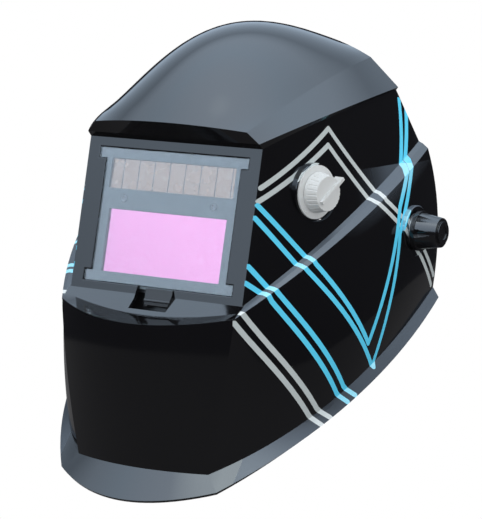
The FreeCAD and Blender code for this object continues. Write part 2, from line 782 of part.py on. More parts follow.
SHAFT_START = "-(%s) - pot_deep + wall + fit" % DIAL_SEAT
SHAFT_END = SHADE_TOP + " - wall"
node("shade_shaft", "dial", rod(
    "shade_shaft_rod", "shaft_radius", (SHAFT_START, 0, 0), "(%s) - (%s)" % (SHAFT_END, SHAFT_START), "x"))

shade_grooves = []
groove_count = 24
lean = math.degrees(math.atan2(size("shade_radius") - size("shade_face_radius"), size("shade_long")))
for k in range(groove_count):
    groove = rod("shade_groove", "wall * 0.26", (0, 0, 0), "shade_long * 1.2", "x")
    round_x = Rotation(Vector(1, 0, 0), 360.0 * k / groove_count)
    foot = Vector(size("skirt_thick") + size("gap") + 2, 0, size("shade_radius") - 0.1)
    tilt = Rotation(Vector(0, 1, 0), 90 + lean)
    groove.Placement = Placement(round_x.multVec(foot), round_x.multiply(tilt))
    shade_grooves.append(groove)
shade_barrel = cut(
    "shade_barrel",
    taper("shade_cone", "shade_radius", "shade_face_radius", (SHADE_FOOT, 0, 0), "shade_long", "x"),
    *shade_grooves)
pointer = framed("pointer", box(
    "shade_pointer", (SHADE_FOOT + " + shade_long / 2", SHADE_TOP + " + pointer_tall"),
    ("-pointer_wide / 2", "pointer_wide / 2"), ("pointer_back - shade_face_radius", "pointer_reach")))
shade_solid = fuse("shade_solid", shade_barrel, pointer)
shade_knob = cut(
    "shade_knob_cut", shade_solid,
    rod("shade_recess", "skirt_hole", (0, 0, 0), SHADE_FOOT + " + nut_thick", "x"),
    rod("shade_bore", "shaft_radius", (0, 0, 0), SHAFT_END, "x"))
node("shade_knob", "dial", shade_knob)


def cord(points, radius):
    """A round cord through points: straight runs joined by tangent arcs, as large as the runs allow."""
    edges = []
    start = points[0]
    for before, corner, after in zip(points, points[1:], points[2:]):
        run = min((corner - before).Length, (after - corner).Length)
        back = (before - corner).normalize()
        onward = (after - corner).normalize()
        reach = run * 0.45
        enter = corner + back * reach
        leave = corner + onward * reach
        half = (math.pi - back.getAngle(onward)) / 2
        bend = reach / math.tan(half)
        inward = (back + onward).normalize()
        middle = corner + inward * (bend / math.cos(half) - bend)
        print("cord bend radius %.1f" % bend)
        edges.append(Part.LineSegment(start, enter).toShape())
        edges.append(Part.Arc(enter, middle, leave).toShape())
        start = leave
    edges.append(Part.LineSegment(start, points[-1]).toShape())
    path = Part.Wire(edges)
    ring = Part.Wire([Part.Circle(points[0], points[1] - points[0], radius).toShape()])
    solid = path.makePipeShell([ring], True, True)
    print("cord length %.1f" % path.Length)
    return solid


def in_window(x, depth, z):
    return window_place.multVec(Vector(x, depth, z))


doc.recompute()
for alias, value in {"cable_radius": 1.0, "cable_lead": 11.5, "gland_radius": 2.4, "gland_long": 4.0,
                     "gland_inset": 5.0, "gland_z": 14.0}.items():
    dimension(alias, value)
doc.recompute()
gland = rod("gland_post", "gland_radius", ("gland_x", BACK_FACE, "gland_z"), "gland_long", "y")
node("cable_gland", "window", gland)
dial_place = Placement(Vector(size("dial_face_x"), size("dial_y"), size("dial_z")),
                       Rotation(Vector(0, 0, 1), -size("dial_turn")))
pot_end = -(size("dial_proud") + size("wall") * 2 + size("pot_deep"))
gland_end = sum(size(a) for a in ("lens_front", "lens_thick", "fit", "case_face", "body_thick", "back_thick",
                                  "gland_long"))
gland_x = size("case_half") - size("case_wall") - size("gland_inset")
lead = size("cable_lead")
cable = doc.addObject("Part::Feature", "pot_cable")
cable.Shape = cord([
    dial_place.multVec(Vector(pot_end, 0, 0)),
    dial_place.multVec(Vector(pot_end - lead, 0, 0)),
    in_window(gland_x, gland_end + lead, size("gland_z")),
    in_window(gland_x, gland_end, size("gland_z")),
], size("cable_radius"))
nodes.append(cable)

# ---------------------------------------------------------------- tilt pivots
DISC_END = "block_end + disc_thick"
KNOB_FOOT = "pivot_face_x + washer_thick - gap"
block_foot = framed("band", box("block_foot", ("band_radius", "band_radius + band_wall * 2"),
                                ("over_y + over_wide / 2 + 2", "band_rear_y - 2"),
                                ("-band_tall * 0.4", "band_tall * 0.4")))
rivet_at = ("band_radius - band_wall", "band_rear_y - 5", 0)
rivet_long = "band_wall * 3"
block = cut(
    "block_cut", fuse("block_solid", block_foot,
                      rod("block_post", "block_radius", ("band_radius", 0, 0), "block_end - band_radius",
                          "x")),
    rod("block_pocket", "bolt_head", ("band_radius - 1", 0, 0),
        "bolt_head_x + bolt_head_thick - band_radius + 1", "x"),
    rod("block_bore", "bolt_radius", ("band_radius - 1", 0, 0), "block_end", "x"),
    framed("band", rod("block_rivet_hole", "screw_radius", rivet_at, rivet_long, "x")))
left = {"pivot_block": node("pivot_block_left", None, block)}
left["block_rivet"] = node("block_rivet_left", "band", fuse(
    "block_rivet_solid", rod("rivet_shank", "screw_radius", rivet_at, rivet_long, "x"),
    rod("rivet_head", "screw_head", ("band_radius + band_wall * 2", rivet_at[1], 0), "band_wall", "x")))
left["pivot_bolt"] = node("pivot_bolt_left", None, fuse(
    "bolt_solid", rod("bolt_head_disc", "bolt_head", ("bolt_head_x", 0, 0), "bolt_head_thick", "x"),
    rod("bolt_shank", "bolt_radius", ("bolt_head_x", 0, 0), "bolt_end - bolt_head_x", "x")))
left["tilt_disc"] = node("tilt_disc_left", None, cut(
    "disc_cut", rod("disc_plate", "disc_radius", ("block_end", 0, 0), "disc_thick", "x"),
    rod("disc_bore", "bolt_radius", ("block_end - 1", 0, 0), "disc_thick + 2", "x"),
    box("disc_notch", ("block_end - 1", "block_end + disc_thick + 1"), ("-disc_thick", "disc_thick"),
        ("disc_radius - disc_thick", "disc_radius + 1"))))
left["friction_washer"] = node("friction_washer_left", None, cut(
    "washer_cut", rod("washer_plate", "washer_radius", (DISC_END, 0, 0), "washer_thick", "x"),
    rod("washer_bore", "bolt_radius", (DISC_END, 0, 0), "washer_thick", "x")))
left["knob_washer"] = node("knob_washer_left", None, cut(
    "knob_washer_cut", rod("knob_washer_plate", "block_radius", ("pivot_face_x + running", 0, 0),
                           "washer_thick - gap - running * 2", "x"),
    rod("knob_washer_bore", "bolt_radius", ("pivot_face_x", 0, 0), "washer_thick", "x")))

TAPER_START = KNOB_FOOT + " + tension_flange_thick"
TAPER_LONG = "tension_long - tension_flange_thick"
tension_body = fuse(
    "tension_body",
    rod("tension_flange_disc", "tension_flange", (KNOB_FOOT, 0, 0), "tension_flange_thick", "x"),
    taper("tension_cone", "tension_base", "tension_tip", (TAPER_START, 0, 0), TAPER_LONG, "x"),
    rod("tension_cap", "tension_disc", (KNOB_FOOT + " + tension_long", 0, 0), "tension_disc_thick", "x"))
lobe_count = 7
tension_cuts = []
for k in range(lobe_count):
    angle = 2 * math.pi * (k + 0.5) / lobe_count
    far = "(tension_base + lobes_radius * 0.45)"
    at = (TAPER_START, "%s * %.6f" % (far, math.cos(angle)), "%s * %.6f" % (far, math.sin(angle)))
    tension_cuts.append(rod("tension_flute", "lobes_radius", at, TAPER_LONG, "x"))
tension_knob = cut(
    "tension_cut", tension_body, *tension_cuts,
    rod("tension_socket", "insert_radius", (KNOB_FOOT, 0, 0), "bolt_end + 1 - (%s)" % KNOB_FOOT, "x"),
    rod("tension_dish", "tension_disc * 0.6", (KNOB_FOOT + " + tension_long + tension_disc_thick / 2", 0, 0),
        "tension_disc_thick", "x"))
left["tension_knob"] = node("tension_knob_left", None, tension_knob)
left["tension_insert"] = node("tension_insert_left", None, cut(
    "insert_cut",
    rod("insert_plug", "insert_radius", (KNOB_FOOT, 0, 0), "bolt_end + 1 - (%s)" % KNOB_FOOT, "x"),
    rod("insert_bore", "bolt_radius + running", (KNOB_FOOT + " - 1", 0, 0),
        "bolt_end + 1 + gap - (%s)" % KNOB_FOOT, "x")))

# ---------------------------------------------------------------- head harness
BAND_IN = "band_radius - band_wall"
band_span = ("-band_tall / 2", "band_tall / 2")
sides = [box("band_side", (low, high), ("band_front_y", "band_rear_y"), band_span)
         for low, high in ((BAND_IN, "band_radius"), ("-band_radius", "-(%s)" % BAND_IN))]
band_solid = fuse(
    "band_solid",
    arc_plate("band_front", "band_radius", BAND_IN, band_span, "180", "180", "band_front_y"),
    arc_plate("band_rear_left", "band_radius", BAND_IN, band_span, "0", "band_arc", "band_rear_y"),
    arc_plate("band_rear_right", "band_radius", BAND_IN, band_span, "180 - band_arc", "band_arc",
              "band_rear_y"),
    *sides)


def radial_rod(name, radius, degrees, inner, outer, z="0"):
    """A rod that points out from the rear arc's centre, at an angle in plain degrees."""
    obj = bind(doc.addObject("Part::Cylinder", name), Radius=radius, Height="(%s) - (%s)" % (outer, inner))
    across = math.cos(math.radians(degrees))
    along = math.sin(math.radians(degrees))
    obj.Placement = Placement(Vector(), Rotation(Vector(0, 0, 1), Vector(across, along, 0)))
    obj.setExpression("Placement.Base.x", bound("(%s) * %.6f" % (inner, across)))
    obj.setExpression("Placement.Base.y", bound("band_rear_y + (%s) * %.6f" % (inner, along)))
    obj.setExpression("Placement.Base.z", bound(z))
    return obj


LEFT_IN = "band_radius + gap"
LEFT_OUT = "band_radius + gap + strap_thick * 0.75"
RIGHT_IN = LEFT_OUT + " + gap"
RIGHT_OUT = RIGHT_IN + " + strap_thick * 0.75"
COVER_IN = RIGHT_OUT + " + gap"
COVER_OUT = COVER_IN + " + cover_thick"
STUD_SEAT = RIGHT_OUT + " + gap"
guide_angles = [size("guide_at_angle"), 180 - size("guide_at_angle")]
over_ends = [(hand, "over_y", "0") for hand in (1, -1)]
stud_holes = [radial_rod("guide_hole", "stud_radius", a, BAND_IN + " - 1",
                         "band_radius + 1") for a in guide_angles]
over_holes = [rod("over_hole", "stud_radius", ("%d * (%s - 1)" % (i, BAND_IN), y, z), "band_wall + 2",
                  "x" if i > 0 else "-x") for i, y, z in over_ends]
rivet_holes = [rod("rivet_hole", "screw_radius", ("%d * (%s - 1)" % (i, BAND_IN), rivet_at[1], 0),
                   "band_wall + 2",
                   "x" if i > 0 else "-x") for i in (1, -1)]
node("brow_band", "band", cut("band_cut", band_solid, *stud_holes, *over_holes, *rivet_holes))
node("guide_studs", "band", *[
    fuse("guide_stud", radial_rod("guide_shank", "stud_radius", a, BAND_IN, STUD_SEAT),
         radial_rod("guide_head", "stud_head", a, STUD_SEAT, STUD_SEAT + " + stud_head_thick"))
    for a in guide_angles])
node("sweatband", "band", arc_plate("sweat_arc_pad", BAND_IN, BAND_IN + " - sweat_thick",
                                    ("-sweat_tall / 2", "sweat_tall / 2"), "270 - sweat_arc", "sweat_arc * 2",
                                    "band_front_y"))

# straps over the head: the left one lies on the right one at the top
OVER_OUT = "band_radius + over_thick"
lap = math.degrees(math.asin(size("over_lap") / size("band_radius")))
over_straps = {}
for label, hand, drop in (("crown_strap_left", 1, "0"), ("crown_strap_right", -1, "over_thick * 1.05")):
    centre_z = "over_rise - (%s)" % drop
    arch = bind(doc.addObject("Part::Cylinder", label + "_arch"), Radius=OVER_OUT, Height="over_wide",
                Angle="90 + %.4f" % lap)
    turn = Rotation(Vector(1, 0, 0), 90)
    if hand < 0:
        turn = turn.multiply(Rotation(Vector(0, 0, 1), 90 - lap))
    arch.Placement = Placement(Vector(), turn)
    arch.setExpression("Placement.Base.y", bound("over_y + over_wide / 2"))
    arch.setExpression("Placement.Base.z", bound(centre_z))
    hollow = rod(label + "_hollow", "band_radius", (0, "over_y - over_wide", centre_z), "over_wide * 2", "y")
    arch_strap = cut(label + "_curve", arch, hollow)
    across = ("band_radius", OVER_OUT) if hand > 0 else ("-(%s)" % OVER_OUT, "-band_radius")
    leg = box(label + "_leg", across, ("over_y - over_wide / 2", "over_y + over_wide / 2"),
              ("-band_tall * 0.4", centre_z))
    foot_hole = rod(label + "_foot_hole", "stud_radius", ("%d * (band_radius - 1)" % hand, "over_y", 0),
                    "over_thick + 2", "x" if hand > 0 else "-x")
    peg_holes = [rod(label + "_peg_hole", "stud_radius - gap",
                     ("%d * over_lap * 0.6" % k, "over_y", "band_radius / 2"),
                     "band_radius") for k in (-1, 0, 1)]
    node(label, "band", cut(label + "_cut", fuse(label + "_solid", arch_strap, leg), foot_hole, *peg_holes))
node("strap_studs", "band", *[
    fuse("strap_stud",
         rod("stud_shank", "stud_radius", ("%d * (%s)" % (i, BAND_IN), y, z), "band_wall + over_thick",
                           "x" if i > 0 else "-x"),
         rod("stud_cap", "stud_head", ("%d * (%s)" % (i, OVER_OUT), y, z), "stud_head_thick",
             "x" if i > 0 else "-x"))
    for i, y, z in over_ends])
PEG_TOP = "over_rise + " + OVER_OUT
PEG_FOOT = PEG_TOP + " - over_thick * 2.05"
node("crown_peg", "band", fuse(
    "crown_peg_solid", rod("peg_shank", "stud_radius - gap", (0, "over_y", PEG_FOOT), "over_thick * 2.05"),
    rod("peg_head", "stud_head", (0, "over_y", PEG_TOP), "stud_head_thick")))

# rear straps with racks, above and below the pinion
strap_span = ("-strap_tall / 2", "strap_tall / 2")
MESH_Z = "pinion_pitch - rack_mesh"
RACK_Z = "pinion_tip + rack_gap"
pinion_teeth = 10
rack_pitch = 2 * math.pi * size("pinion_pitch") / pinion_teeth


def rear_strap(label, inner, outer, hand):
    """A slotted strap round the back of the head, with rack teeth along one edge of its slot."""

    def from_side(first, last):
        return (first, "(%s) - (%s)" % (last, first)) if hand > 0 else (
            "180 - (%s)" % last, "(%s) - (%s)" % (last, first))

    def slot(name, z, first, last):
        start, sweep = from_side(first, last)
        return arc_plate(name, outer + " + 1", inner + " - 1", z, start, sweep, "band_rear_y")

    start, sweep = from_side("strap_start_angle", "strap_end_angle")
    strap = cut(
        label + "_plate", arc_plate(label + "_arc", outer, inner, strap_span, start, sweep, "band_rear_y"),
        slot(label + "_slot", ("-(%s)" % RACK_Z, RACK_Z), "slot_start_angle", "slot_end_angle"),
        slot(label + "_guide", ("-stud_radius - gap", "stud_radius + gap"), "guide_start_angle",
             "guide_end_angle"))
    radius = size("band_radius") + size("gap") + size("strap_thick") * (0.375 if hand > 0 else 1.125 + 0.1875)
    step = math.degrees(rack_pitch / radius)
    half = math.degrees(size("rack_tooth") / radius) / 2
    z = (MESH_Z, RACK_Z + " + gap") if hand > 0 else ("-(%s) - gap" % RACK_Z, "-(%s)" % MESH_Z)
    low = size("slot_start_angle") - 90 if hand > 0 else 90 - size("slot_end_angle")
    high = size("slot_end_angle") - 90 if hand > 0 else 90 - size("slot_start_angle")
    teeth = []
    for k in range(math.ceil(low / step), math.floor(high / step)):
        middle = 90 + (k + 0.5) * step
        if low + half < middle - 90 < high - half:
            teeth.append(arc_plate(label + "_tooth", outer, inner, z, "%.5f" % (middle - half),
                                   "%.5f" % (2 * half),
                                   "band_rear_y"))
    node(label, "band", fuse(label + "_solid", strap, *teeth))
    return step


left_step = rear_strap("rear_strap_left", LEFT_IN, LEFT_OUT, 1)
right_step = rear_strap("rear_strap_right", RIGHT_IN, RIGHT_OUT, -1)
print("strap turn per radian of the knob", left_step * pinion_teeth / 360, right_step * pinion_teeth / 360)

# ratchet housing, its pinion and its knob
housing_z = ("-housing_tall / 2", "housing_tall / 2")
housing_start = "90 - housing_arc"
housing_sweep = "housing_arc * 2"
HOUSING_IN = "band_radius - housing_wall"
channel_z = ("-strap_tall / 2 - gap", "strap_tall / 2 + gap")
screw_spots = [(90 + i * (size("housing_arc") - 4), "%d * (housing_tall / 2 - screw_head)" % j) for i,
               j in corners]
node("ratchet_housing", "band", cut(
    "housing_cut",
    arc_plate("housing_block", COVER_IN, HOUSING_IN, housing_z, housing_start, housing_sweep, "band_rear_y"),
    arc_plate("housing_channel", COVER_IN + " + 1", "band_radius", channel_z, housing_start + " - 1",
              housing_sweep + " + 2", "band_rear_y"),
    rod("journal_hole", "journal_radius + running", (0, "band_rear_y + band_radius / 2", 0), "band_radius",
        "y"),
    *[radial_rod("housing_screw_hole", "screw_radius", a, "band_radius", COVER_IN + " + 1", z)
      for a, z in screw_spots]))
node("ratchet_cover", "band", cut(
    "cover_cut",
    arc_plate("cover_block", COVER_OUT, COVER_IN, housing_z, housing_start, housing_sweep, "band_rear_y"),
    rod("knob_shaft_hole", "knob_shaft_radius + running", (0, "band_rear_y + band_radius / 2", 0),
        "band_radius", "y"),
    *[radial_rod("cover_screw_hole", "screw_radius", a, "band_radius", COVER_OUT + " + 1", z)
      for a, z in screw_spots]))
node("housing_screws", "band", *[
    fuse("housing_screw", radial_rod("housing_shank", "screw_radius", a, "band_radius", COVER_OUT, z),
         radial_rod("housing_head", "screw_head", a, COVER_OUT, COVER_OUT + " + screw_head_thick", z))
    for a, z in screw_spots])
node("nape_pad", "band", arc_plate("nape_arc_pad", HOUSING_IN, HOUSING_IN + " - nape_thick",
                                   ("-nape_tall / 2", "nape_tall / 2"), "90 - nape_arc", "nape_arc * 2",
                                   "band_rear_y"))

PINION_Y = "band_rear_y + band_radius + fit"
PINION_LONG = "2 * strap_thick * 0.75 + gap - fit"
pinion_parts = [
    rod("pinion_core", "pinion_root", (0, PINION_Y, 0), PINION_LONG, "y"),
    rod("pinion_journal", "journal_radius", (0, "band_rear_y + %s + fit" % HOUSING_IN, 0),
        "housing_wall + fit", "y"),
    rod("pinion_shaft", "knob_shaft_radius", (0, PINION_Y, 0), "fit_knob_thick + cover_thick", "y"),
]
for k in range(pinion_teeth):
    tooth = bind(doc.addObject("Part::Box", "pinion_tooth_block"), Length="pinion_tooth", Width=PINION_LONG,
                 Height="pinion_tip - pinion_root / 2")
    turn = Rotation(Vector(0, 1, 0), 360.0 * k / pinion_teeth)
    corner = turn.multVec(Vector(-size("pinion_tooth") / 2, 0, size("pinion_root") / 2))
    tooth.Placement = Placement(corner, turn)
    tooth.setExpression("Placement.Base.y", bound(PINION_Y))
    pinion_parts.append(tooth)
node("ratchet_pinion", "band", fuse("pinion_solid", *pinion_parts))
FIT_KNOB_Y = "band_rear_y + %s + gap" % COVER_OUT
scallops = []
scallop_count = 12
for k in range(scallop_count):
    angle = 2 * math.pi * (k + 0.5) / scallop_count
    at = ("(fit_knob_radius + scallop_out) * %.6f" % math.cos(angle), FIT_KNOB_Y,
          "(fit_knob_radius + scallop_out) * %.6f" % math.sin(angle))
    scallops.append(rod("scallop", "lobes_radius", at, "fit_knob_thick", "y"))
node("ratchet_knob", "band", cut(
    "ratchet_knob_cut",
    rod("ratchet_knob_disc", "fit_knob_radius", (0, FIT_KNOB_Y, 0), "fit_knob_thick", "y"),
    *scallops,
    rod("ratchet_knob_bore", "knob_shaft_radius", (0, PINION_Y, 0), "fit_knob_thick + cover_thick", "y")))

for name, source in left.items():
    mirror_node(name + "_right", source)

# ---------------------------------------------------------------- check and write
doc.recompute()
for obj in doc.Objects:
    if {"Invalid", "Error"} & set(obj.State):
        raise RuntimeError("%s did not build: %s" % (obj.Name, obj.State))
os.makedirs("parts", exist_ok=True)
for obj in nodes:
    if obj.Shape.isNull() or not obj.Shape.isValid() or not obj.Shape.Solids:
        raise RuntimeError("%s has no valid solid" % obj.Label)
    obj.Shape.exportStep("parts/%s.step" % obj.Label)
print(len(nodes), "sub-parts")
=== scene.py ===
# %% [markdown]
# # A welding helmet, dressed in Blender
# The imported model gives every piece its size, its place and the body that it moves with. This
# notebook loads it, gives each piece soft edges and a finish, and builds anew the pieces that a
# camera looks at most: the glossy shell, the dials' markings and the padding of the head harness.

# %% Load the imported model
import json
import math
import bmesh
import bpy
from mathutils import Matrix, Vector

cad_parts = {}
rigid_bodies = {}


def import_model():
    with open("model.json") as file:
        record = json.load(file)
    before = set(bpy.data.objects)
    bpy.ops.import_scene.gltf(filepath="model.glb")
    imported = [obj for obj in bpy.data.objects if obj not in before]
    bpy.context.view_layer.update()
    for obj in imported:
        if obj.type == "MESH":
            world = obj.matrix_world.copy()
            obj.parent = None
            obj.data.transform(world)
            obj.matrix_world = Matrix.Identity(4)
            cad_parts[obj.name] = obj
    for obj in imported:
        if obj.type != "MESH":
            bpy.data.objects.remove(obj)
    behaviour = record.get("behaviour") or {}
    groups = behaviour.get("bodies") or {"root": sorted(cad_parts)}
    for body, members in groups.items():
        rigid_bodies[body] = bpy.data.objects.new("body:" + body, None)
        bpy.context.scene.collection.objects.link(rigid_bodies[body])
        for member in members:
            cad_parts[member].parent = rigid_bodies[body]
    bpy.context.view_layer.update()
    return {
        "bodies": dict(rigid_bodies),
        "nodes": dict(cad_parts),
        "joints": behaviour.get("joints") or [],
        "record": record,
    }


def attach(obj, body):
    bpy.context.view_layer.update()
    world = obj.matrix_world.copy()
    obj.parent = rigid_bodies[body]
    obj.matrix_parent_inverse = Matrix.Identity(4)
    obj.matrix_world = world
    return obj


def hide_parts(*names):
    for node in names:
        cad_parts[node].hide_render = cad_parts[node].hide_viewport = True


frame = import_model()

nodes = frame["nodes"]
bodies = frame["record"]["behaviour"]["bodies"]
body_of_node = {name: body for body, names in bodies.items() for name in names}
slot_of_node = {part["node"]: part["material_slot"] for part in frame["record"]["subparts"]}

# %% [markdown]
# A material is a small network of nodes. Writing the arithmetic between its numbers as ordinary
# Python keeps it readable, so one class wraps a number's socket and turns each operator into a
# Math node, and one method of the paint class adds any other kind of node.

# %% Numbers and nodes of a material
class Number:
    """A number inside a material, with the usual operators."""

    def __init__(self, paint, socket):
        self.paint = paint
        self.socket = socket

    def math(self, operation, *others, clamp=False):
        settings = {"operation": operation, "use_clamp": clamp}
        values = {0: self}
        for place, other in enumerate(others, start=1):
            values[place] = other
        return self.paint.node("ShaderNodeMath", settings, values)["Value"]

    def __add__(self, other):
        return self.math("ADD", other)

    __radd__ = __add__

    def __sub__(self, other):
        return self.math("SUBTRACT", other)

    def __rsub__(self, other):
        return (self * -1) + other

    def __mul__(self, other):
        return self.math("MULTIPLY", other)

    __rmul__ = __mul__

    def __truediv__(self, other):
        return self.math("DIVIDE", other)

    def __neg__(self):
        return self * -1

    def __abs__(self):
        return self.math("ABSOLUTE")

    def least(self, other):
        return self.math("MINIMUM", other)

    def most(self, other):
        return self.math("MAXIMUM", other)

    def wave(self):
        return self.math("SINE")

    def root(self):
        return self.math("SQRT")

    def above(self, edge, soft):
        """1 where the number is above edge, 0 below, with a soft step between."""
        return ((self - (edge - soft / 2)) / soft).math("ADD", 0.0, clamp=True)

    def below(self, edge, soft):
        return 1 - self.above(edge, soft)


class Paint:
    """A material, or a world, under construction."""

    def __init__(self, name, owner=None):
        self.material = owner or bpy.data.materials.new(name)
        self.material.use_nodes = True
        self.tree = self.material.node_tree
        self.tree.nodes.clear()

    def node(self, kind, settings=None, values=None):
        """Adds a node: its settings first, then its sockets' values or links. Returns its outputs."""
        made = self.tree.nodes.new(kind)
        for key, value in (settings or {}).items():
            if key == "stops":
                ramp = made.color_ramp
                while len(ramp.elements) > 1:
                    ramp.elements.remove(ramp.elements[-1])
                ramp.elements[0].position, ramp.elements[0].color = value[0]
                for position, colour in value[1:]:
                    ramp.elements.new(position).color = colour
            else:
                setattr(made, key, value)
        for key, value in (values or {}).items():
            if isinstance(value, Number):
                self.tree.links.new(value.socket, made.inputs[key])
            else:
                made.inputs[key].default_value = value
        return {out.name: Number(self, out) for out in made.outputs if out.enabled}

    def place(self):
        """The three object coordinates, in metres, and the whole vector."""
        whole = self.node("ShaderNodeTexCoord")["Object"]
        split = self.node("ShaderNodeSeparateXYZ", values={"Vector": whole})
        return split["X"], split["Y"], split["Z"], whole

    def noise(self, scale, detail=2.0, roughness=0.5, where=None):
        where = where or self.place()[3]
        return self.node("ShaderNodeTexNoise", values={
            "Vector": where, "Scale": scale, "Detail": detail, "Roughness": roughness})["Fac"]

    def mix(self, factor, first, second):
        """A colour between two colours."""
        out = self.node("ShaderNodeMix", {"data_type": "RGBA"}, {0: factor, 6: first, 7: second})
        return out["Result"]

    def bump(self, height, strength, distance=0.001):
        return self.node("ShaderNodeBump", values={
            "Height": height, "Strength": strength, "Distance": distance})["Normal"]

    def finish(self, **values):
        """The main shader, with names such as Base_Color for its sockets."""
        sockets = {key.replace("_", " "): value for key, value in values.items()}
        shader = self.node("ShaderNodeBsdfPrincipled", values=sockets)["BSDF"]
        self.node("ShaderNodeOutputMaterial", values={"Surface": shader})
        return self.material


print("paint tools ready")

# %% [markdown]
# Moulded plastic is one plastic with several finishes. What tells them apart is how sharp the
# reflections are and how the surface breaks them: a polished shell has faint ripples from the
# mould and fine dust, a satin part has a soft grain, and a matte one has a coarse grain.

# %% Plastics
def plastic(name, colour, roughness, grain_size=900.0, grain=0.05, wear=0.03):
    """A moulded plastic: grain as bump, and a slight change of tone and gloss over the surface."""
    paint = Paint(name)
    cloud = paint.noise(18.0, 3.0)
    fine = paint.noise(grain_size, 2.0)
    lighter = tuple(min(1.0, c * 1.25 + 0.004) for c in colour)
    tone = paint.mix(cloud, (*colour, 1.0), (*lighter, 1.0))
    rough = cloud * wear * 2 + (roughness - wear)
    return paint.finish(Base_Color=tone, Roughness=rough, Normal=paint.bump(fine, grain, 0.0002))


def metal(name, colour, roughness, streaks=(40.0, 40.0, 900.0)):
    """A turned or drawn metal, with fine lines one way."""
    paint = Paint(name)
    stretched = paint.node("ShaderNodeMapping", values={
        "Vector": paint.place()[3], "Scale": streaks})["Vector"]
    lines = paint.noise(1.0, 3.0, where=stretched)
    tone = paint.mix(lines, (*[c * 0.8 for c in colour], 1.0), (*colour, 1.0))
    return paint.finish(Base_Color=tone, Metallic=1.0, Roughness=lines * 0.2 + roughness,
                        Normal=paint.bump(lines, 0.06, 0.0002))


paints = {
    "case_plastic": plastic("case_plastic", (0.115, 0.15, 0.17), 0.36, 700.0, 0.08),
    "body_plastic": plastic("body_plastic", (0.022, 0.022, 0.025), 0.5, 600.0, 0.12),
    "trim_plastic": plastic("trim_plastic", (0.035, 0.035, 0.038), 0.42, 900.0, 0.08),
    "holder_plastic": plastic("holder_plastic", (0.016, 0.0165, 0.018), 0.3, 900.0, 0.05),
    "white_plastic": plastic("white_plastic", (0.58, 0.6, 0.605), 0.42, 900.0, 0.06, 0.05),
    "knob_plastic": plastic("knob_plastic", (0.006, 0.006, 0.007), 0.13, 250.0, 0.03),
    "band_plastic": plastic("band_plastic", (0.018, 0.018, 0.02), 0.45, 500.0, 0.15),
    "cable_rubber": plastic("cable_rubber", (0.012, 0.012, 0.012), 0.55, 900.0, 0.1),
    "steel": metal("steel", (0.62, 0.63, 0.65), 0.28),
    "pot_metal": metal("pot_metal", (0.5, 0.5, 0.5), 0.4, (600.0, 60.0, 60.0)),
    "brass": metal("brass", (0.78, 0.58, 0.26), 0.3),
}
print("plastics and metals", len(paints))

# %% [markdown]
# The shell is one injection moulding whose form is a handful of creases: each runs round the front
# and down both sides. A crease is drawn here as three parabolas through a few points, the same
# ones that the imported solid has, and the skin between two creases is ruled. That gives an even
# net of quads, on which long reflections stay clean, where a mesh taken from the solid would
# break them at each of its triangles.

# %% The shell's creases
MM = 0.001
window_centre = Vector((0, -131, 14.5)) * MM
window_tilt = math.radians(13.9)
window_half = 67 * MM
rear_y = 35 * MM
to_window = Matrix.Translation(window_centre) @ Matrix.Rotation(-window_tilt, 4, "X")

# middle of the front, front corner, halfway along the side, and (x, z) at the rear edge
creases = {
    "rim": ((0, -55, -176), (61, -33, -168), (109.5, 58, -119.3), (118, -66)),
    "lip": ((0, -38, -158.5), (51, -27, -159), (103.5, 49, -115.2), (113.5, -59.3)),
    "belly": ((0, -44, -108), (60.5, -26, -107), (109, 57, -59), (116.2, -8)),
    "chin": ((0, -45, -61.5), (67.5, -22, -55.5), (102.6, 66, -7.3), (107.9, 37)),
    "ledge": ((0, -25, -59.5), (67.5, -17.5, -52.5), (99, 66, -4.2), (104, 40)),
    "sill": (-50.5, None, (96, 66, -3), (100.8, 41.5)),
    "head": (51.4, None, (81.5, 73, 65.7), (82.7, 75.8)),
    "brow": ((0, 6, 54), (66.8, 8.5, 53.5), (83, 73, 68), (84.2, 77.8)),
    "crown": ((0, -5, 65), (59, 6, 61), (65.5, 86, 85), (62.5, 97.5)),
}
crown_middle = Vector((0, 72, 118.5)) * MM + window_centre
crown_rear = Vector((0, rear_y / MM, 113.5 + 14.5)) * MM


def stations(name):
    """The four points of a crease on the left half, in metres."""
    front, corner, side, rear = creases[name]
    if corner is None:
        points = [to_window @ Vector((0, 0, front * MM)), to_window @ Vector((window_half, 0, front * MM))]
    else:
        points = [Vector(p) * MM + window_centre for p in (front, corner)]
    points.append(Vector(side) * MM + window_centre)
    points.append(Vector((rear[0] * MM, rear_y, rear[1] * MM + window_centre.z)))
    return points


def through(start, halfway, end, t):
    """A point on the parabola that starts, passes halfway and ends at three points."""
    pole = halfway * 2 - (start + end) / 2
    return start * (1 - t) ** 2 + pole * (2 * t * (1 - t)) + end * t ** 2


def flip(v):
    return Vector((-v.x, v.y, v.z))


def on_crease(points, u):
    """A crease at u: -2 and 2 are the rear ends, -1 and 1 the front corners."""
    front, corner, side, rear = points
    if abs(u) <= 1:
        return through(flip(corner), front, corner, (u + 1) / 2)
    there = through(corner, side, rear, abs(u) - 1)
    return there if u > 0 else flip(there)


crease_points = {name: stations(name) for name in creases}
print("creases", list(crease_points))

# %% [markdown]
# The skin's net takes its columns from u and its rows from the creases. Every crease keeps a
# bevel weight, so that one Bevel modifier rounds them all by the small radius that a mould has,
# and the flat between them stays untouched. Solidify then gives the wall its thickness.

# %% The shell's skin
side_steps = 22
front_steps = 26
same_point = 0.02 * MM
grid_step = 0.1 * MM
columns = [-2 + i / side_steps for i in range(side_steps)]
columns += [-1 + 2 * i / front_steps for i in range(front_steps)]
columns += [1 + i / side_steps for i in range(side_steps + 1)]
rows_between = {"rim": 4, "lip": 14, "chin": 2, "ledge": 3, "sill": 12, "head": 2, "brow": 2}


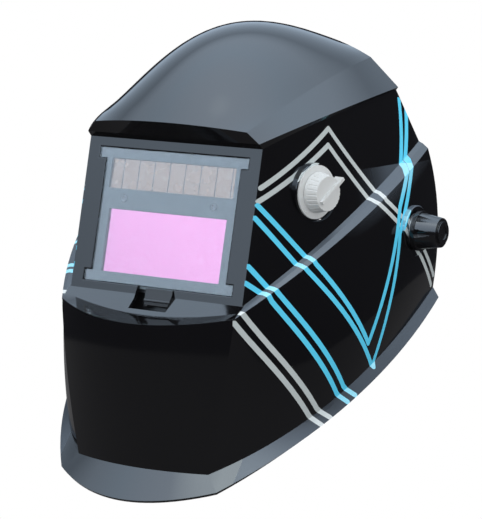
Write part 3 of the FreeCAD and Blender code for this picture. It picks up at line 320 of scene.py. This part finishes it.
def skin_rows():
    """Rows of points up the skin, and the rows that are creases."""
    names = [n for n in creases if n != "belly"]
    rows = []
    crease_rows = []
    for low, high in zip(names, names[1:]):
        crease_rows.append(len(rows))
        steps = rows_between[low]
        for k in range(steps):
            t = k / steps
            row = []
            for u in columns:
                a, b = on_crease(crease_points[low], u), on_crease(crease_points[high], u)
                if low == "lip":
                    row.append(through(a, on_crease(crease_points["belly"], u), b, t))
                else:
                    row.append(a.lerp(b, t))
            rows.append(row)
    crease_rows.append(len(rows))
    rows.append([on_crease(crease_points["crown"], u) for u in columns])
    return rows, crease_rows


def crown_point(s, t):
    """The crown's surface: s runs across from right to left, t from the front to the rear edge."""
    front, corner, side, rear = crease_points["crown"]
    lines = [(flip(corner), flip(side), flip(rear)), (front, crown_middle, crown_rear), (corner, side, rear)]
    points = [through(*line, t) for line in lines]
    return through(*points, s)


def shell_skin():
    """The outer skin as one mesh: the net up to the crown's crease, and the crown."""
    rows, crease_rows = skin_rows()
    bm = bmesh.new()
    net = [[bm.verts.new(p) for p in row] for row in rows]
    for low, high in zip(net, net[1:]):
        for k in range(len(columns) - 1):
            bm.faces.new((low[k], low[k + 1], high[k + 1], high[k]))
    crown = [[bm.verts.new(crown_point(i / front_steps, j / side_steps)) for i in range(front_steps + 1)]
             for j in range(side_steps + 1)]
    for near, far in zip(crown, crown[1:]):
        for k in range(front_steps):
            bm.faces.new((near[k], near[k + 1], far[k + 1], far[k]))
    bmesh.ops.remove_doubles(bm, verts=bm.verts, dist=same_point)
    weight = bm.edges.layers.float.new("bevel_weight_edge")
    bm.verts.ensure_lookup_table()
    chosen = [[rows[i][k].copy() for k in range(len(columns))] for i in crease_rows]
    corner_columns = [side_steps, side_steps + front_steps]
    chosen += [[row[k].copy() for row in rows] for k in corner_columns]
    grid = {}
    for v in bm.verts:
        grid[tuple(round(c / grid_step) for c in v.co)] = v

    def find(p):
        key = tuple(round(c / grid_step) for c in p)
        if key in grid:
            return grid[key]
        return min(bm.verts, key=lambda v: (v.co - p).length_squared)

    for run in chosen:
        for a, b in zip(run, run[1:]):
            edge = bm.edges.get((find(a), find(b))) if find(a) != find(b) else None
            if edge is not None and len(edge.link_faces) == 2:
                edge[weight] = 1.0
    mesh = bpy.data.meshes.new("helmet_shell")
    bmesh.ops.recalc_face_normals(bm, faces=bm.faces)
    top = max(bm.faces, key=lambda f: f.calc_center_median().z)
    if top.normal.z < 0:
        bmesh.ops.reverse_faces(bm, faces=bm.faces)
    bm.to_mesh(mesh)
    bm.free()
    return mesh


def link(name, mesh):
    """Puts a mesh into the scene as a piece."""
    piece = bpy.data.objects.new(name, mesh)
    bpy.context.scene.collection.objects.link(piece)
    return piece


def settle(piece):
    """Turns an object with live modifiers into one with a plain mesh."""
    bpy.context.view_layer.update()
    seen = piece.evaluated_get(bpy.context.evaluated_depsgraph_get())
    mesh = bpy.data.meshes.new_from_object(seen)
    piece.modifiers.clear()
    old = piece.data
    piece.data = mesh
    mesh.name = piece.name
    bpy.data.meshes.remove(old)
    return piece


def modify(piece, kind, **settings):
    """Adds a modifier with these settings, and returns it."""
    modifier = piece.modifiers.new(kind.lower(), kind)
    for key, value in settings.items():
        setattr(modifier, key, value)
    return modifier


def smooth(piece, degrees=30):
    """Smooth shading that breaks at edges sharper than an angle."""
    piece.data.shade_smooth()
    piece.data.set_sharp_from_angle(angle=math.radians(degrees))
    return piece


shell = link("helmet_shell", shell_skin())
wall = 2.5 * MM
modify(shell, "SOLIDIFY", thickness=wall, offset=-1, use_even_offset=True, use_quality_normals=True)
settle(shell)
print("shell net", len(shell.data.polygons), "faces")

# %% [markdown]
# What cuts the shell and what stands on it are bodies swept straight through a place of their own:
# an outline, and for each depth how far the outline has grown there. Two depths close together at
# the mouth of a hole give it a rounded lip instead of a knife edge.

# %% Straight bodies from an outline
def circle(radius, count=72):
    return [(radius * math.cos(2 * math.pi * k / count), radius * math.sin(2 * math.pi * k / count))
            for k in range(count)]


def grown(outline, grow):
    """The outline, which runs anticlockwise, moved outwards by grow with its corners mitred."""
    result = []
    for k, here in enumerate(outline):
        before = Vector(outline[k - 1])
        after = Vector(outline[(k + 1) % len(outline)])
        here = Vector(here)
        a, b = (here - before).normalized(), (after - here).normalized()
        out_a, out_b = Vector((a.y, -a.x)), Vector((b.y, -b.x))
        result.append(here + (out_a + out_b) * (grow / (1 + out_a.dot(out_b))))
    return result


def straight_body(outline, sections, frame):
    """A closed mesh: sections are (height along the frame's z, growth of the outline)."""
    bm = bmesh.new()
    rings = []
    for height, grow in sections:
        rings.append([bm.verts.new((p[0], p[1], height)) for p in grown(outline, grow)])
    count = len(outline)
    for low, high in zip(rings, rings[1:]):
        for k in range(count):
            bm.faces.new((low[k], low[(k + 1) % count], high[(k + 1) % count], high[k]))
    bm.faces.new(rings[-1])
    bm.faces.new(list(reversed(rings[0])))
    bm.transform(frame)
    bmesh.ops.recalc_face_normals(bm, faces=bm.faces)
    mesh = bpy.data.meshes.new("body")
    bm.to_mesh(mesh)
    bm.free()
    return link("body", mesh)


def combine(piece, operation, tools):
    """Adds or cuts bodies, which are used up."""
    for tool in tools:
        modify(piece, "BOOLEAN", object=tool, operation=operation, solver="EXACT")
        settle(piece)
        mesh = tool.data
        bpy.data.objects.remove(tool)
        bpy.data.meshes.remove(mesh)
    return piece


# the window's own frame has x across, y up and z pointing out of the bezel
window_frame = to_window @ Matrix.Rotation(math.pi / 2, 4, "X")
print("window frame and bodies ready")

# %% [markdown]
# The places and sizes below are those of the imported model: the I-shaped opening for the filter,
# the notch under it for the latch, the bosses that the holder is screwed to, a flat seat for the
# shade dial on the left and a boss for the tilt pivot on each side.

# %% The shell's openings and bosses
frame_half, middle_half, frame_top, frame_bar = 58 * MM, 52.5 * MM, 45 * MM, 7.5 * MM
i_outline = [(-frame_half, -frame_top), (frame_half, -frame_top), (frame_half, frame_bar - frame_top),
             (middle_half, frame_bar - frame_top), (middle_half, frame_top - frame_bar),
             (frame_half, frame_top - frame_bar), (frame_half, frame_top), (-frame_half, frame_top),
             (-frame_half, frame_top - frame_bar), (-middle_half, frame_top - frame_bar),
             (-middle_half, frame_bar - frame_top), (-frame_half, frame_bar - frame_top)]
lip = 0.6 * MM
notch = [(-14 * MM, -60 * MM), (14 * MM, -60 * MM), (14 * MM, -42.5 * MM), (-14 * MM, -42.5 * MM)]
screw_x, screw_z, screw_boss = 60 * MM, 20 * MM, 2.5 * MM
pivot_face, boss_start = 117.916 * MM, 108.88 * MM
pivot_boss, pivot_bore, pivot_sink = 17 * MM, 4.08 * MM, 7.5 * MM
dial_boss, dial_bore, dial_deep, seat_gap = 19 * MM, 3.6 * MM, 6.2 * MM, 0.4 * MM
dial_seat = Matrix.Translation(Vector((86.489, -83.5, 34)) * MM) @ Matrix.Rotation(math.radians(-12), 4, "Z")
dial_frame = dial_seat @ Matrix.Rotation(math.pi / 2, 4, "Y")
pivot_frame = Matrix.Rotation(math.pi / 2, 4, "Y")
mirror_frame = Matrix.Rotation(-math.pi / 2, 4, "Y")

pivot_sections = [(boss_start, -lip), (boss_start + lip, 0), (pivot_face - lip, 0), (pivot_face, -lip)]
adders = [straight_body(circle(pivot_boss), pivot_sections, frame) for frame in (pivot_frame, mirror_frame)]
adders.append(straight_body(circle(dial_boss), [(-dial_deep, -lip), (-dial_deep + lip, 0), (-lip, 0),
                                                (-0.2 * MM, -lip / 4), (0, -lip)], dial_frame))
for x in (-screw_x, screw_x):
    for z in (-screw_z, screw_z):
        place = window_frame @ Matrix.Translation((x, z, 0))
        adders.append(straight_body(circle(screw_boss, 32), [(-4.5 * MM, 0), (-1.2 * MM, 0)], place))
combine(shell, "UNION", adders)

# a cutter starts inside the shell and ends beyond its outer face
i_sections = [(-5 * MM, 0), (-lip, 0), (-lip / 3, lip / 3), (0, lip), (3 * MM, lip * 2)]
cutters = [
    straight_body(i_outline, i_sections, window_frame),
    straight_body(notch, [(-4.5 * MM, 0), (-lip, 0), (0, lip / 2), (14 * MM, lip)], window_frame),
    straight_body(circle(dial_bore, 48), [(-19 * MM, 0), (3 * MM, 0)], dial_frame),
    straight_body(circle(dial_boss), [(0, seat_gap), (19 * MM, seat_gap)], dial_frame),
]
for frame in (pivot_frame, mirror_frame):
    cutters.append(straight_body(circle(pivot_bore, 48), [(100 * MM, 0), (125 * MM, 0)], frame))
    cutters.append(straight_body(circle(pivot_boss + seat_gap),
                                 [(pivot_face, 0), (pivot_face + pivot_sink, 0)], frame))
combine(shell, "DIFFERENCE", cutters)
modify(shell, "BEVEL", limit_method="WEIGHT", width=0.4 * MM, segments=2, loop_slide=False)
settle(shell)
print("shell", len(shell.data.polygons), "faces after its openings")

# %% [markdown]
# The shell is black and glossy, and carries a printed decoration: pairs of pale and blue stripes
# that run down each side. A stripe is a chain of straight pieces in the plane seen from the side,
# so the material measures how far a point lies from each piece and takes the nearest. The chains
# are mirrored to the right side, and are printed on the outer face only.

# %% The shell's paint
stripes = {
    "pale": [[(-122.7, 39.8), (-60.3, 73.2), (-28.2, 28.7), (-27.2, 23.5), (32, -35.8)],
             [(-125.2, 31.4), (-63.5, 62.6), (-37.4, 26.2), (-35.8, 23.2), (29.9, -42.5)],
             [(-148.1, -37.8), (-132.7, -59.8), (-98.9, -106.1), (-90.9, -113.1)],
             [(-153.1, -43.6), (-135.7, -67.2), (-104.7, -109.8), (-97.7, -117.1)]],
    "blue": [[(-125.9, 28.9), (-97.8, -6.9), (-96.1, -11), (-56.7, -68.5), (-15, 17.7), (4.9, 42), (33, 84)],
             [(-128.5, 21), (-105, -11.4), (-102.4, -15.3), (-48.6, -85.8), (-19.9, 0.6), (8.9, 41.8),
              (37, 78)],
             [(-136.3, -9.4), (-126.5, -23.9), (-124.5, -27.1), (-77.5, -94.3), (-69.3, -101.4)],
             [(-139.2, -19.9), (-131.4, -26.8), (-129.2, -32), (-83, -98.4), (-76.1, -104.9)]],
}
stripe_half = 1.65 * MM
stripe_edge = 0.12 * MM


def distance_to_piece(y, z, start, end):
    """How far a point lies from a straight piece, in the plane seen from the side."""
    a, b = Vector(start) * MM, Vector(end) * MM
    along = (b - a).normalized()
    length = (b - a).length
    dy, dz = y - a.x, z - a.y
    across = abs(dy * along.y - dz * along.x)
    before = -(dy * along.x + dz * along.y)
    beyond = before.most(-before - length).most(0.0)
    return (across * across + beyond * beyond).root()


def chain_mask(y, z, chains):
    """1 on the stripes of a colour and 0 off them."""
    nearest = None
    for chain in chains:
        for start, end in zip(chain, chain[1:]):
            d = distance_to_piece(y, z, start, end)
            nearest = d if nearest is None else nearest.least(d)
    return nearest.below(stripe_half, stripe_edge)


def shell_paint():
    """Black and glossy, with the stripes and a satin bevel strip along each side, where a reflection of the
    sky is painted in as lighter grey and lighter stripes.
    """
    paint = Paint("shell_gloss")
    x, y, z = paint.place()[:3]
    # the stripes stop at the front corner, which runs in towards the chin
    corner = (z + 60 * MM).math("MULTIPLY", 0.17).least(0.0) + 66.5 * MM
    # they are printed on the outer face, whose normal points away from the middle
    normal = paint.node("ShaderNodeTexCoord")["Normal"]
    facing = paint.node("ShaderNodeSeparateXYZ", values={"Vector": normal})
    outer_face = (facing["X"] * x).above(0.0, 1 * MM)
    outside = (abs(x) - corner).above(0.0, stripe_edge) * outer_face
    pale = chain_mask(y, z, stripes["pale"]) * outside
    blue = chain_mask(y, z, stripes["blue"]) * outside
    # the narrow bevel strip that climbs along each side has a real satin finish; where it faces up, its grey
    # and its lighter stripes are a painted reflection of the sky
    satin_chamfer_painted_sky = facing["Z"].above(0.3, 0.08) * abs(x).above(68 * MM, 0.3 * MM) * z.below(44 * MM, 0.3 * MM)
    cloud = paint.noise(9.0, 3.0)
    dust = paint.noise(500.0, 3.0, 0.6)
    gloss_black = paint.mix(cloud, (0.0045, 0.0045, 0.0055, 1.0), (0.0065, 0.0065, 0.0075, 1.0))
    # painted reflection of the sky: on the upward bevel strip the black turns grey and both inks turn
    # lighter
    black = paint.mix(satin_chamfer_painted_sky, gloss_black, (0.030, 0.037, 0.047, 1.0))
    pale_ink_painted_sky = paint.mix(satin_chamfer_painted_sky, (0.53, 0.59, 0.60, 1.0), (0.74, 0.80, 0.82, 1.0))
    blue_ink_painted_sky = paint.mix(satin_chamfer_painted_sky, (0.11, 0.68, 0.98, 1.0), (0.36, 0.82, 1.0, 1.0))
    colour = paint.mix(blue, paint.mix(pale, black, pale_ink_painted_sky), blue_ink_painted_sky)
    ripple = paint.noise(26.0, 2.0, 0.4)
    rough = dust * 0.03 + cloud * 0.02 + 0.045 + pale.most(blue) * 0.1 + satin_chamfer_painted_sky * 0.38
    return paint.finish(Base_Color=colour, Roughness=rough, Specular_IOR_Level=0.5,
                        Normal=paint.bump(ripple, 0.06, 0.0006))


paints["shell_plastic"] = shell_paint()
print("shell paint has", len(paints["shell_plastic"].node_tree.nodes), "nodes")

# %% [markdown]
# The cover lens is thin clear plastic: it lets the filter show, and adds one clean reflection.
# Behind it the filter glass has a coating that throws back a pink light, and the solar strip is
# a row of brown cells parted by fine lines.

# %% Glass, cells, board and fabric
def clear_lens():
    """Sees straight through, with the reflection of a thin plastic sheet and a few scratches."""
    paint = Paint("clear_lens")
    seen = paint.node("ShaderNodeBsdfTransparent", values={"Color": (0.97, 0.975, 0.98, 1.0)})["BSDF"]
    mirror = paint.node("ShaderNodeBsdfGlossy", values={"Color": (1, 1, 1, 1), "Roughness": 0.02})["BSDF"]
    share = paint.node("ShaderNodeFresnel", values={"IOR": 1.49})["Fac"]
    scratches = paint.noise(260.0, 4.0, 0.7).above(0.62, 0.2) * 0.02
    both = paint.node("ShaderNodeMixShader", values={0: share + scratches, 1: seen, 2: mirror})["Shader"]
    paint.node("ShaderNodeOutputMaterial", values={"Surface": both})
    return paint.material


def filter_glass():
    """The coated glass: a pink mirror, a little uneven, as thin coatings are."""
    paint = Paint("filter_glass")
    cloud = paint.noise(30.0, 2.0)
    tone = paint.mix(cloud, (0.60, 0.20, 0.36, 1.0), (0.64, 0.22, 0.38, 1.0))
    return paint.finish(Base_Color=tone, Metallic=0.86, Roughness=cloud * 0.03 + 0.05, Coat_Weight=0.3,
                        Coat_Roughness=0.03)


def solar_cells():
    """Brown cells, with a dark line between two cells and fine pale fingers along each."""
    paint = Paint("solar_cells")
    x, y, z = paint.place()[:3]
    pitch = 12.1 * MM
    turn = 2 * math.pi
    gap_line = ((x * (turn / pitch)).wave() * -1).above(0.985, 0.01)
    finger = ((x * (turn / (1.5 * MM))).wave()).above(0.9, 0.08)
    cloud = paint.noise(120.0, 3.0)
    cell = paint.mix(cloud, (0.30, 0.187, 0.125, 1.0), (0.36, 0.228, 0.155, 1.0))
    fingered = paint.mix(finger * 0.25, cell, (0.6, 0.58, 0.56, 1.0))
    tone = paint.mix(gap_line, fingered, (0.05, 0.045, 0.045, 1.0))
    return paint.finish(Base_Color=tone, Metallic=0.55, Roughness=cloud * 0.06 + 0.24, Coat_Weight=0.6,
                        Coat_Roughness=0.05)


def sensor_glass():
    """Nearly black glass under a clear coat."""
    paint = Paint("sensor_glass")
    cloud = paint.noise(300.0, 2.0)
    tone = paint.mix(cloud, (0.010, 0.012, 0.016, 1.0), (0.020, 0.022, 0.028, 1.0))
    return paint.finish(Base_Color=tone, Roughness=cloud * 0.02 + 0.04, Coat_Weight=0.8, Coat_Roughness=0.02)


def circuit_board():
    """Green lacquer with winding tracks that stand a little proud."""
    paint = Paint("circuit_board")
    x, y, z = paint.place()[:3]
    tracks = (x * 1900.0 + (z * 700.0).wave() * 2).wave().above(0.6, 0.2)
    tone = paint.mix(tracks, (0.012, 0.07, 0.035, 1.0), (0.03, 0.15, 0.07, 1.0))
    return paint.finish(Base_Color=tone, Roughness=0.35 + tracks * 0.1,
                        Normal=paint.bump(tracks, 0.1, 0.0001))


def cloth(name, thread, colour):
    """A plain weave: two crossed sets of threads, with a fuzz over them."""
    paint = Paint(name)
    x, y, z = paint.place()[:3]
    turn = 2 * math.pi / thread
    weave = ((x + y) * turn).wave() * (z * turn).wave()
    fuzz = paint.noise(1400.0, 3.0, 0.7)
    worn = paint.noise(24.0, 3.0)
    tone = paint.mix(worn * 0.6 + weave * 0.2 + 0.1, (*[c * 0.7 for c in colour], 1.0), (*colour, 1.0))
    return paint.finish(Base_Color=tone, Roughness=fuzz * 0.1 + 0.85, Sheen_Weight=0.3,
                        Normal=paint.bump(weave * 0.5 + fuzz * 0.5, 0.45, 0.0005))


paints["lens_clear"] = clear_lens()
paints["lcd_glass"] = filter_glass()
paints["solar_glass"] = solar_cells()
paints["sensor_glass"] = sensor_glass()
paints["board"] = circuit_board()
paints["sweat_fabric"] = cloth("sweat_fabric", 1.1 * MM, (0.03, 0.03, 0.034))
paints["pad_fabric"] = cloth("pad_fabric", 1.4 * MM, (0.04, 0.04, 0.045))
print("materials", sorted(paints))

# %% [markdown]
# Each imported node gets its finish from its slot. A node that keeps its form is copied, its
# doubled vertices are merged, its edges are broken by a small bevel, and the copy stands for it.
# Weighted normals keep flat faces flat beside the bevels.

# %% Pieces with soft edges
def dress(piece, node_names, slot=None):
    """The piece rides on its node's body, stands for the nodes and takes the slot's paint."""
    first = node_names[0]
    slot = slot or slot_of_node[first]
    piece.data.materials.clear()
    piece.data.materials.append(paints[slot])
    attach(piece, body_of_node[first])
    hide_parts(*node_names)
    return piece


def weigh(piece, degrees=35):
    """Smooth shading with flat faces kept flat, as plain data of the mesh."""
    smooth(piece, degrees)
    modify(piece, "WEIGHTED_NORMAL", keep_sharp=True, weight=80)
    return settle(piece)


def plain_copy(name):
    """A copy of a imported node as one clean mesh: doubles merged and flat faces whole."""
    bm = bmesh.new()
    bm.from_mesh(nodes[name].data)
    bmesh.ops.remove_doubles(bm, verts=bm.verts, dist=0.002 * MM)
    bmesh.ops.dissolve_limit(bm, angle_limit=math.radians(0.4), verts=bm.verts, edges=bm.edges)
    mesh = bpy.data.meshes.new(name + "_finish")
    bm.to_mesh(mesh)
    bm.free()
    return link(name + "_finish", mesh)


def soften(name, width, segments=2, angle=32):
    """A node's copy with its edges broken by a bevel of this width, in millimetres."""
    piece = plain_copy(name)
    modify(piece, "BEVEL", limit_method="ANGLE", angle_limit=math.radians(angle), width=width * MM,
           segments=segments, use_clamp_overlap=True, loop_slide=False)
    settle(piece)
    return dress(weigh(piece), [name])


weigh(shell, 16)
dress(shell, ["shell"])
bevels = {
    "cover_lens": 0.2, "inner_lens": 0.2, "adf_case": 0.45, "adf_body": 0.5, "adf_back": 0.3,
    "lcd_filter": 0.2,
    "solar_panel": 0.15, "arc_sensors": 0.25, "adf_board": 0.1, "battery_caps": 0.25, "cable_gland": 0.3,
    "sensitivity_dial": 0.35, "delay_dial": 0.35, "filter_holder": 0.4, "holder_screws": 0.3,
    "latch_pin": 0.15,
    "cover_latch": 0.45, "pot_nut": 0.2, "shade_pot": 0.3, "shade_shaft": 0.3, "shade_skirt": 0.2,
    "brow_band": 0.3, "guide_studs": 0.4, "strap_studs": 0.4, "crown_peg": 0.4, "crown_strap_left": 0.25,
    "crown_strap_right": 0.25, "rear_strap_left": 0.15, "rear_strap_right": 0.15, "ratchet_housing": 0.4,
    "ratchet_cover": 0.6, "housing_screws": 0.3, "ratchet_pinion": 0.15, "ratchet_knob": 0.9,
}
for side in ("left", "right"):
    bevels.update({"pivot_block_" + side: 0.6, "block_rivet_" + side: 0.3, "pivot_bolt_" + side: 0.4,
                   "tilt_disc_" + side: 0.3, "friction_washer_" + side: 0.2, "knob_washer_" + side: 0.15,
                   "tension_knob_" + side: 0.6, "tension_insert_" + side: 0.2})
for name, width in bevels.items():
    soften(name, width)
soften("shade_knob", 0.25, 2)
print("softened", len(bevels) + 1, "nodes")



def join(piece, meshes):
    """Adds meshes to a piece's own, as further closed bodies of it."""
    bm = bmesh.new()
    for mesh in (piece.data, *meshes):
        bm.from_mesh(mesh)
    bm.to_mesh(piece.data)
    bm.free()
    return piece


# the holder's tab goes on behind the notch, so that no light shows through beside the latch
tab_outline = [(-30 * MM, -62 * MM), (-16 * MM, -62 * MM), (-16 * MM, -44 * MM), (-30 * MM, -44 * MM)]
tab_edge = 0.4 * MM
tab_sections = [(-11.2 * MM, -tab_edge), (-10.8 * MM, 0), (-10 * MM, 0), (-9.6 * MM, -tab_edge)]
tab = straight_body(tab_outline, tab_sections, window_frame)
join(bpy.data.objects["filter_holder_finish"], [tab.data])
bpy.data.objects.remove(tab)

# %% [markdown]
# The room is only what the helmet mirrors. A glossy black thing shows its surroundings, so the
# glossy rays see a dark floor and walls with a bright, slightly blue sky above them, and all
# other light is even and soft. The camera sees plain white.

# %% Light, floor and camera
def make_world():
    """Plain white to the camera, even light for dull surfaces, and a sky for glossy ones."""
    world = bpy.data.worlds.new("studio")
    bpy.context.scene.world = world
    world.use_nodes = True
    sky = Paint("sky", world)
    whole = sky.node("ShaderNodeTexCoord")["Generated"]
    split = sky.node("ShaderNodeSeparateXYZ", values={"Vector": whole})
    x, y, z = split["X"], split["Y"], split["Z"]
    # trees stand higher behind the wearer's left shoulder than elsewhere
    height = z - x * 0.1 - x.most(0.0) * y.most(0.0) * 0.3
    open_sky = height.above(0.225, 0.05)
    # a bright cloud stands nearly overhead, in front
    cloud = x * 0.3 - y * 0.4 + z * 0.87
    bright = sky.node("ShaderNodeValToRGB", {"stops": [
        (0.2, (0.10, 0.125, 0.155, 1)), (0.38, (0.22, 0.27, 0.33, 1)), (0.62, (0.31, 0.39, 0.48, 1)),
        (0.86, (0.42, 0.50, 0.60, 1)), (0.96, (0.80, 0.92, 1.0, 1))]}, {"Fac": cloud})["Color"]
    colour = sky.mix(open_sky, (0.0035, 0.0037, 0.0045, 1.0), bright)
    mirrored = sky.node("ShaderNodeBackground", values={"Color": colour, "Strength": 8.0})["Background"]
    even = sky.node("ShaderNodeBackground", values={"Color": (1, 1, 1, 1), "Strength": 0.95})["Background"]
    white = sky.node("ShaderNodeBackground", values={"Color": (1, 1, 1, 1), "Strength": 1.0})["Background"]
    path = sky.node("ShaderNodeLightPath")
    lit = sky.node("ShaderNodeMixShader", values={0: path["Is Glossy Ray"], 1: even, 2: mirrored})["Shader"]
    straight = path["Is Camera Ray"].most(path["Is Transmission Ray"])
    seen = sky.node("ShaderNodeMixShader", values={0: straight, 1: lit, 2: white})["Shader"]
    sky.node("ShaderNodeOutputWorld", values={"Surface": seen})


def make_light(name, place, size, power, colour=(1.0, 1.0, 1.0)):
    data = bpy.data.lights.new(name, "AREA")
    data.shape = "DISK"
    data.size = size
    data.energy = power
    data.color = colour
    lamp = bpy.data.objects.new(name, data)
    lamp.location = place
    lamp.rotation_euler = (-Vector(place)).to_track_quat("-Z", "Y").to_euler()
    lamp.visible_glossy = False
    bpy.context.scene.collection.objects.link(lamp)


def make_floor():
    """A pale floor well below, which is as white as the background to the camera."""
    bm = bmesh.new()
    bmesh.ops.create_circle(bm, cap_ends=True, segments=64, radius=2.5)
    mesh = bpy.data.meshes.new("floor")
    bm.to_mesh(mesh)
    bm.free()
    floor = link("floor", mesh)
    floor.location.z = -0.6
    paint = Paint("floor")
    path = paint.node("ShaderNodeLightPath")
    pale = paint.node("ShaderNodeBsdfDiffuse", values={"Color": (0.12, 0.12, 0.125, 1.0)})["BSDF"]
    white = paint.node("ShaderNodeEmission", values={"Color": (1, 1, 1, 1), "Strength": 1.0})["Emission"]
    straight = path["Is Camera Ray"].most(path["Is Transmission Ray"])
    both = paint.node("ShaderNodeMixShader", values={0: straight, 1: pale, 2: white})["Shader"]
    paint.node("ShaderNodeOutputMaterial", values={"Surface": both})
    mesh.materials.append(paint.material)


make_world()
make_light("key", (-0.9, -1.2, 1.5), 0.9, 6.0)
make_light("fill", (1.4, -0.8, 0.5), 0.9, 3.0)
make_light("back", (0.3, 1.4, 1.0), 0.8, 5.0)
make_floor()

azimuth, elevation, distance = math.radians(33), math.radians(9), 1.6
level = math.cos(elevation)
look = Vector((-math.sin(azimuth) * level, math.cos(azimuth) * level, -math.sin(elevation)))
camera_data = bpy.data.cameras.new("camera")
camera = bpy.data.objects.new("camera", camera_data)
bpy.context.scene.collection.objects.link(camera)
camera.location = window_centre - look * distance
camera.rotation_euler = look.to_track_quat("-Z", "Y").to_euler()
camera_data.sensor_fit = "HORIZONTAL"
camera_data.sensor_width = 36
camera_data.lens = 182.0
camera_data.shift_x = 0.1583
camera_data.shift_y = -0.0824
bpy.context.scene.camera = camera
view = bpy.context.scene.view_settings
view.view_transform = "Standard"
view.look = "None"
print("camera at", [round(c, 3) for c in camera.location])

# %% [markdown]
# The shade dial's skirt carries its scale, the numbers 9 to 13, as low raised figures around the
# knob. They are joined to the skirt's own piece.

# %% Scale on the skirt
def figure(text, height, raised):
    """A raised figure as a mesh, centred, in its own plane."""
    curve = bpy.data.curves.new("figure_" + text, "FONT")
    curve.body = text
    curve.size = height
    curve.extrude = raised
    curve.align_x = "CENTER"
    curve.align_y = "CENTER"
    made = bpy.data.objects.new("figure_" + text, curve)
    bpy.context.scene.collection.objects.link(made)
    bpy.context.view_layer.update()
    mesh = bpy.data.meshes.new_from_object(made.evaluated_get(bpy.context.evaluated_depsgraph_get()))
    bpy.data.objects.remove(made)
    return mesh


def scale_on(piece, texts, first, step, radius, lift, height, raised):
    """Adds figures to a piece, spread on a circle and upright from its centre outwards."""
    outwards = Matrix(((0, 0, 1, 0), (1, 0, 0, 0), (0, 1, 0, 0), (0, 0, 0, 1)))
    stand = Matrix.Translation((radius, 0, lift)) @ Matrix.Rotation(-math.pi / 2, 4, "Z")
    meshes = []
    for i, text in enumerate(texts):
        mesh = figure(text, height, raised)
        turn = Matrix.Rotation(math.radians(first + step * i), 4, "Z")
        mesh.transform(dial_seat @ outwards @ turn @ stand)
        meshes.append(mesh)
    return join(piece, meshes)


skirt = bpy.data.objects["shade_skirt_finish"]
scale_on(skirt, ["9", "10", "11", "12", "13"], first=-170, step=40, radius=15.6 * MM, lift=1.4 * MM,
         height=3.4 * MM, raised=0.22 * MM)
print("skirt", len(skirt.data.polygons), "faces with its scale")

# %% [markdown]
# The sweatband and the nape pad are foam in fabric. Each is inflated as cloth from its packed
# form, no point may leave that form by more than a cap, and a sewn seam is drawn in afterwards.

# %% Padding
def inflate(piece, cap, frames=20):
    """Twenty frames of cloth under pressure, with each point's way limited."""
    before = [v.co.copy() for v in piece.data.vertices]
    scene = bpy.context.scene
    puff = modify(piece, "CLOTH")
    puff.settings.use_pressure = True
    puff.settings.uniform_pressure_force = 4.0
    puff.settings.effector_weights.gravity = 0.0
    puff.point_cache.frame_end = frames
    for frame_number in range(1, frames + 1):
        scene.frame_set(frame_number)
    settle(piece)
    scene.frame_set(1)
    for v, start in zip(piece.data.vertices, before):
        way = v.co - start
        if way.length > cap:
            v.co = start + way * (cap / way.length)
    return piece


def sew(piece, seam_heights, width, depth):
    """Presses level seams into the pad: points near a seam's height move in, against their normals."""
    mesh = piece.data
    normals = [v.normal.copy() for v in mesh.vertices]
    for v, normal in zip(mesh.vertices, normals):
        for height in seam_heights:
            near = 1.0 - abs(v.co.z - height) / width
            if near > 0.0:
                v.co -= normal * depth * near * near * (3.0 - 2.0 * near)
    return piece


voxel, seam_width, seam_depth = 2.4 * MM, 2.2 * MM, 0.9 * MM


def padding(name, cap, seams):
    piece = plain_copy(name)
    modify(piece, "REMESH", mode="VOXEL", voxel_size=voxel)
    settle(piece)
    inflate(piece, cap * MM)
    modify(piece, "SUBSURF", levels=1, render_levels=1)
    settle(piece)
    heights = [v.co.z for v in piece.data.vertices]
    low, high = min(heights), max(heights)
    sew(piece, [low + (high - low) * at for at in seams], seam_width, seam_depth)
    piece.data.shade_smooth()
    dress(piece, [name])
    print(name, len(piece.data.polygons), "faces")
    return piece


padding("sweatband", 1.0, [0.12, 0.88])
padding("nape_pad", 1.0, [0.15, 0.85])

# %% [markdown]
# The cable from the shade dial to the filter cassette hangs free inside the shell. Its line is
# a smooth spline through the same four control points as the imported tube's route.

# %% Cable
def free_cable(name, route, radius):
    curve = bpy.data.curves.new(name + "_line", "CURVE")
    curve.dimensions = "3D"
    curve.resolution_u = 16
    curve.bevel_depth = radius
    curve.bevel_resolution = 3
    curve.use_fill_caps = True
    line = curve.splines.new("NURBS")
    line.points.add(len(route) - 1)
    for point, at in zip(line.points, route):
        point.co = (*at, 1.0)
    line.order_u = 3
    line.use_endpoint_u = True
    piece = bpy.data.objects.new(name + "_finish", curve)
    bpy.context.scene.collection.objects.link(piece)
    dress(piece, [name])
    return piece


cable_route = [(0.071621, -0.08034, 0.034), (0.06037, -0.07795, 0.034), (0.05, -0.10143, 0.0216),
               (0.05, -0.112591, 0.024366)]
free_cable("pot_cable", cable_route, radius=0.001)
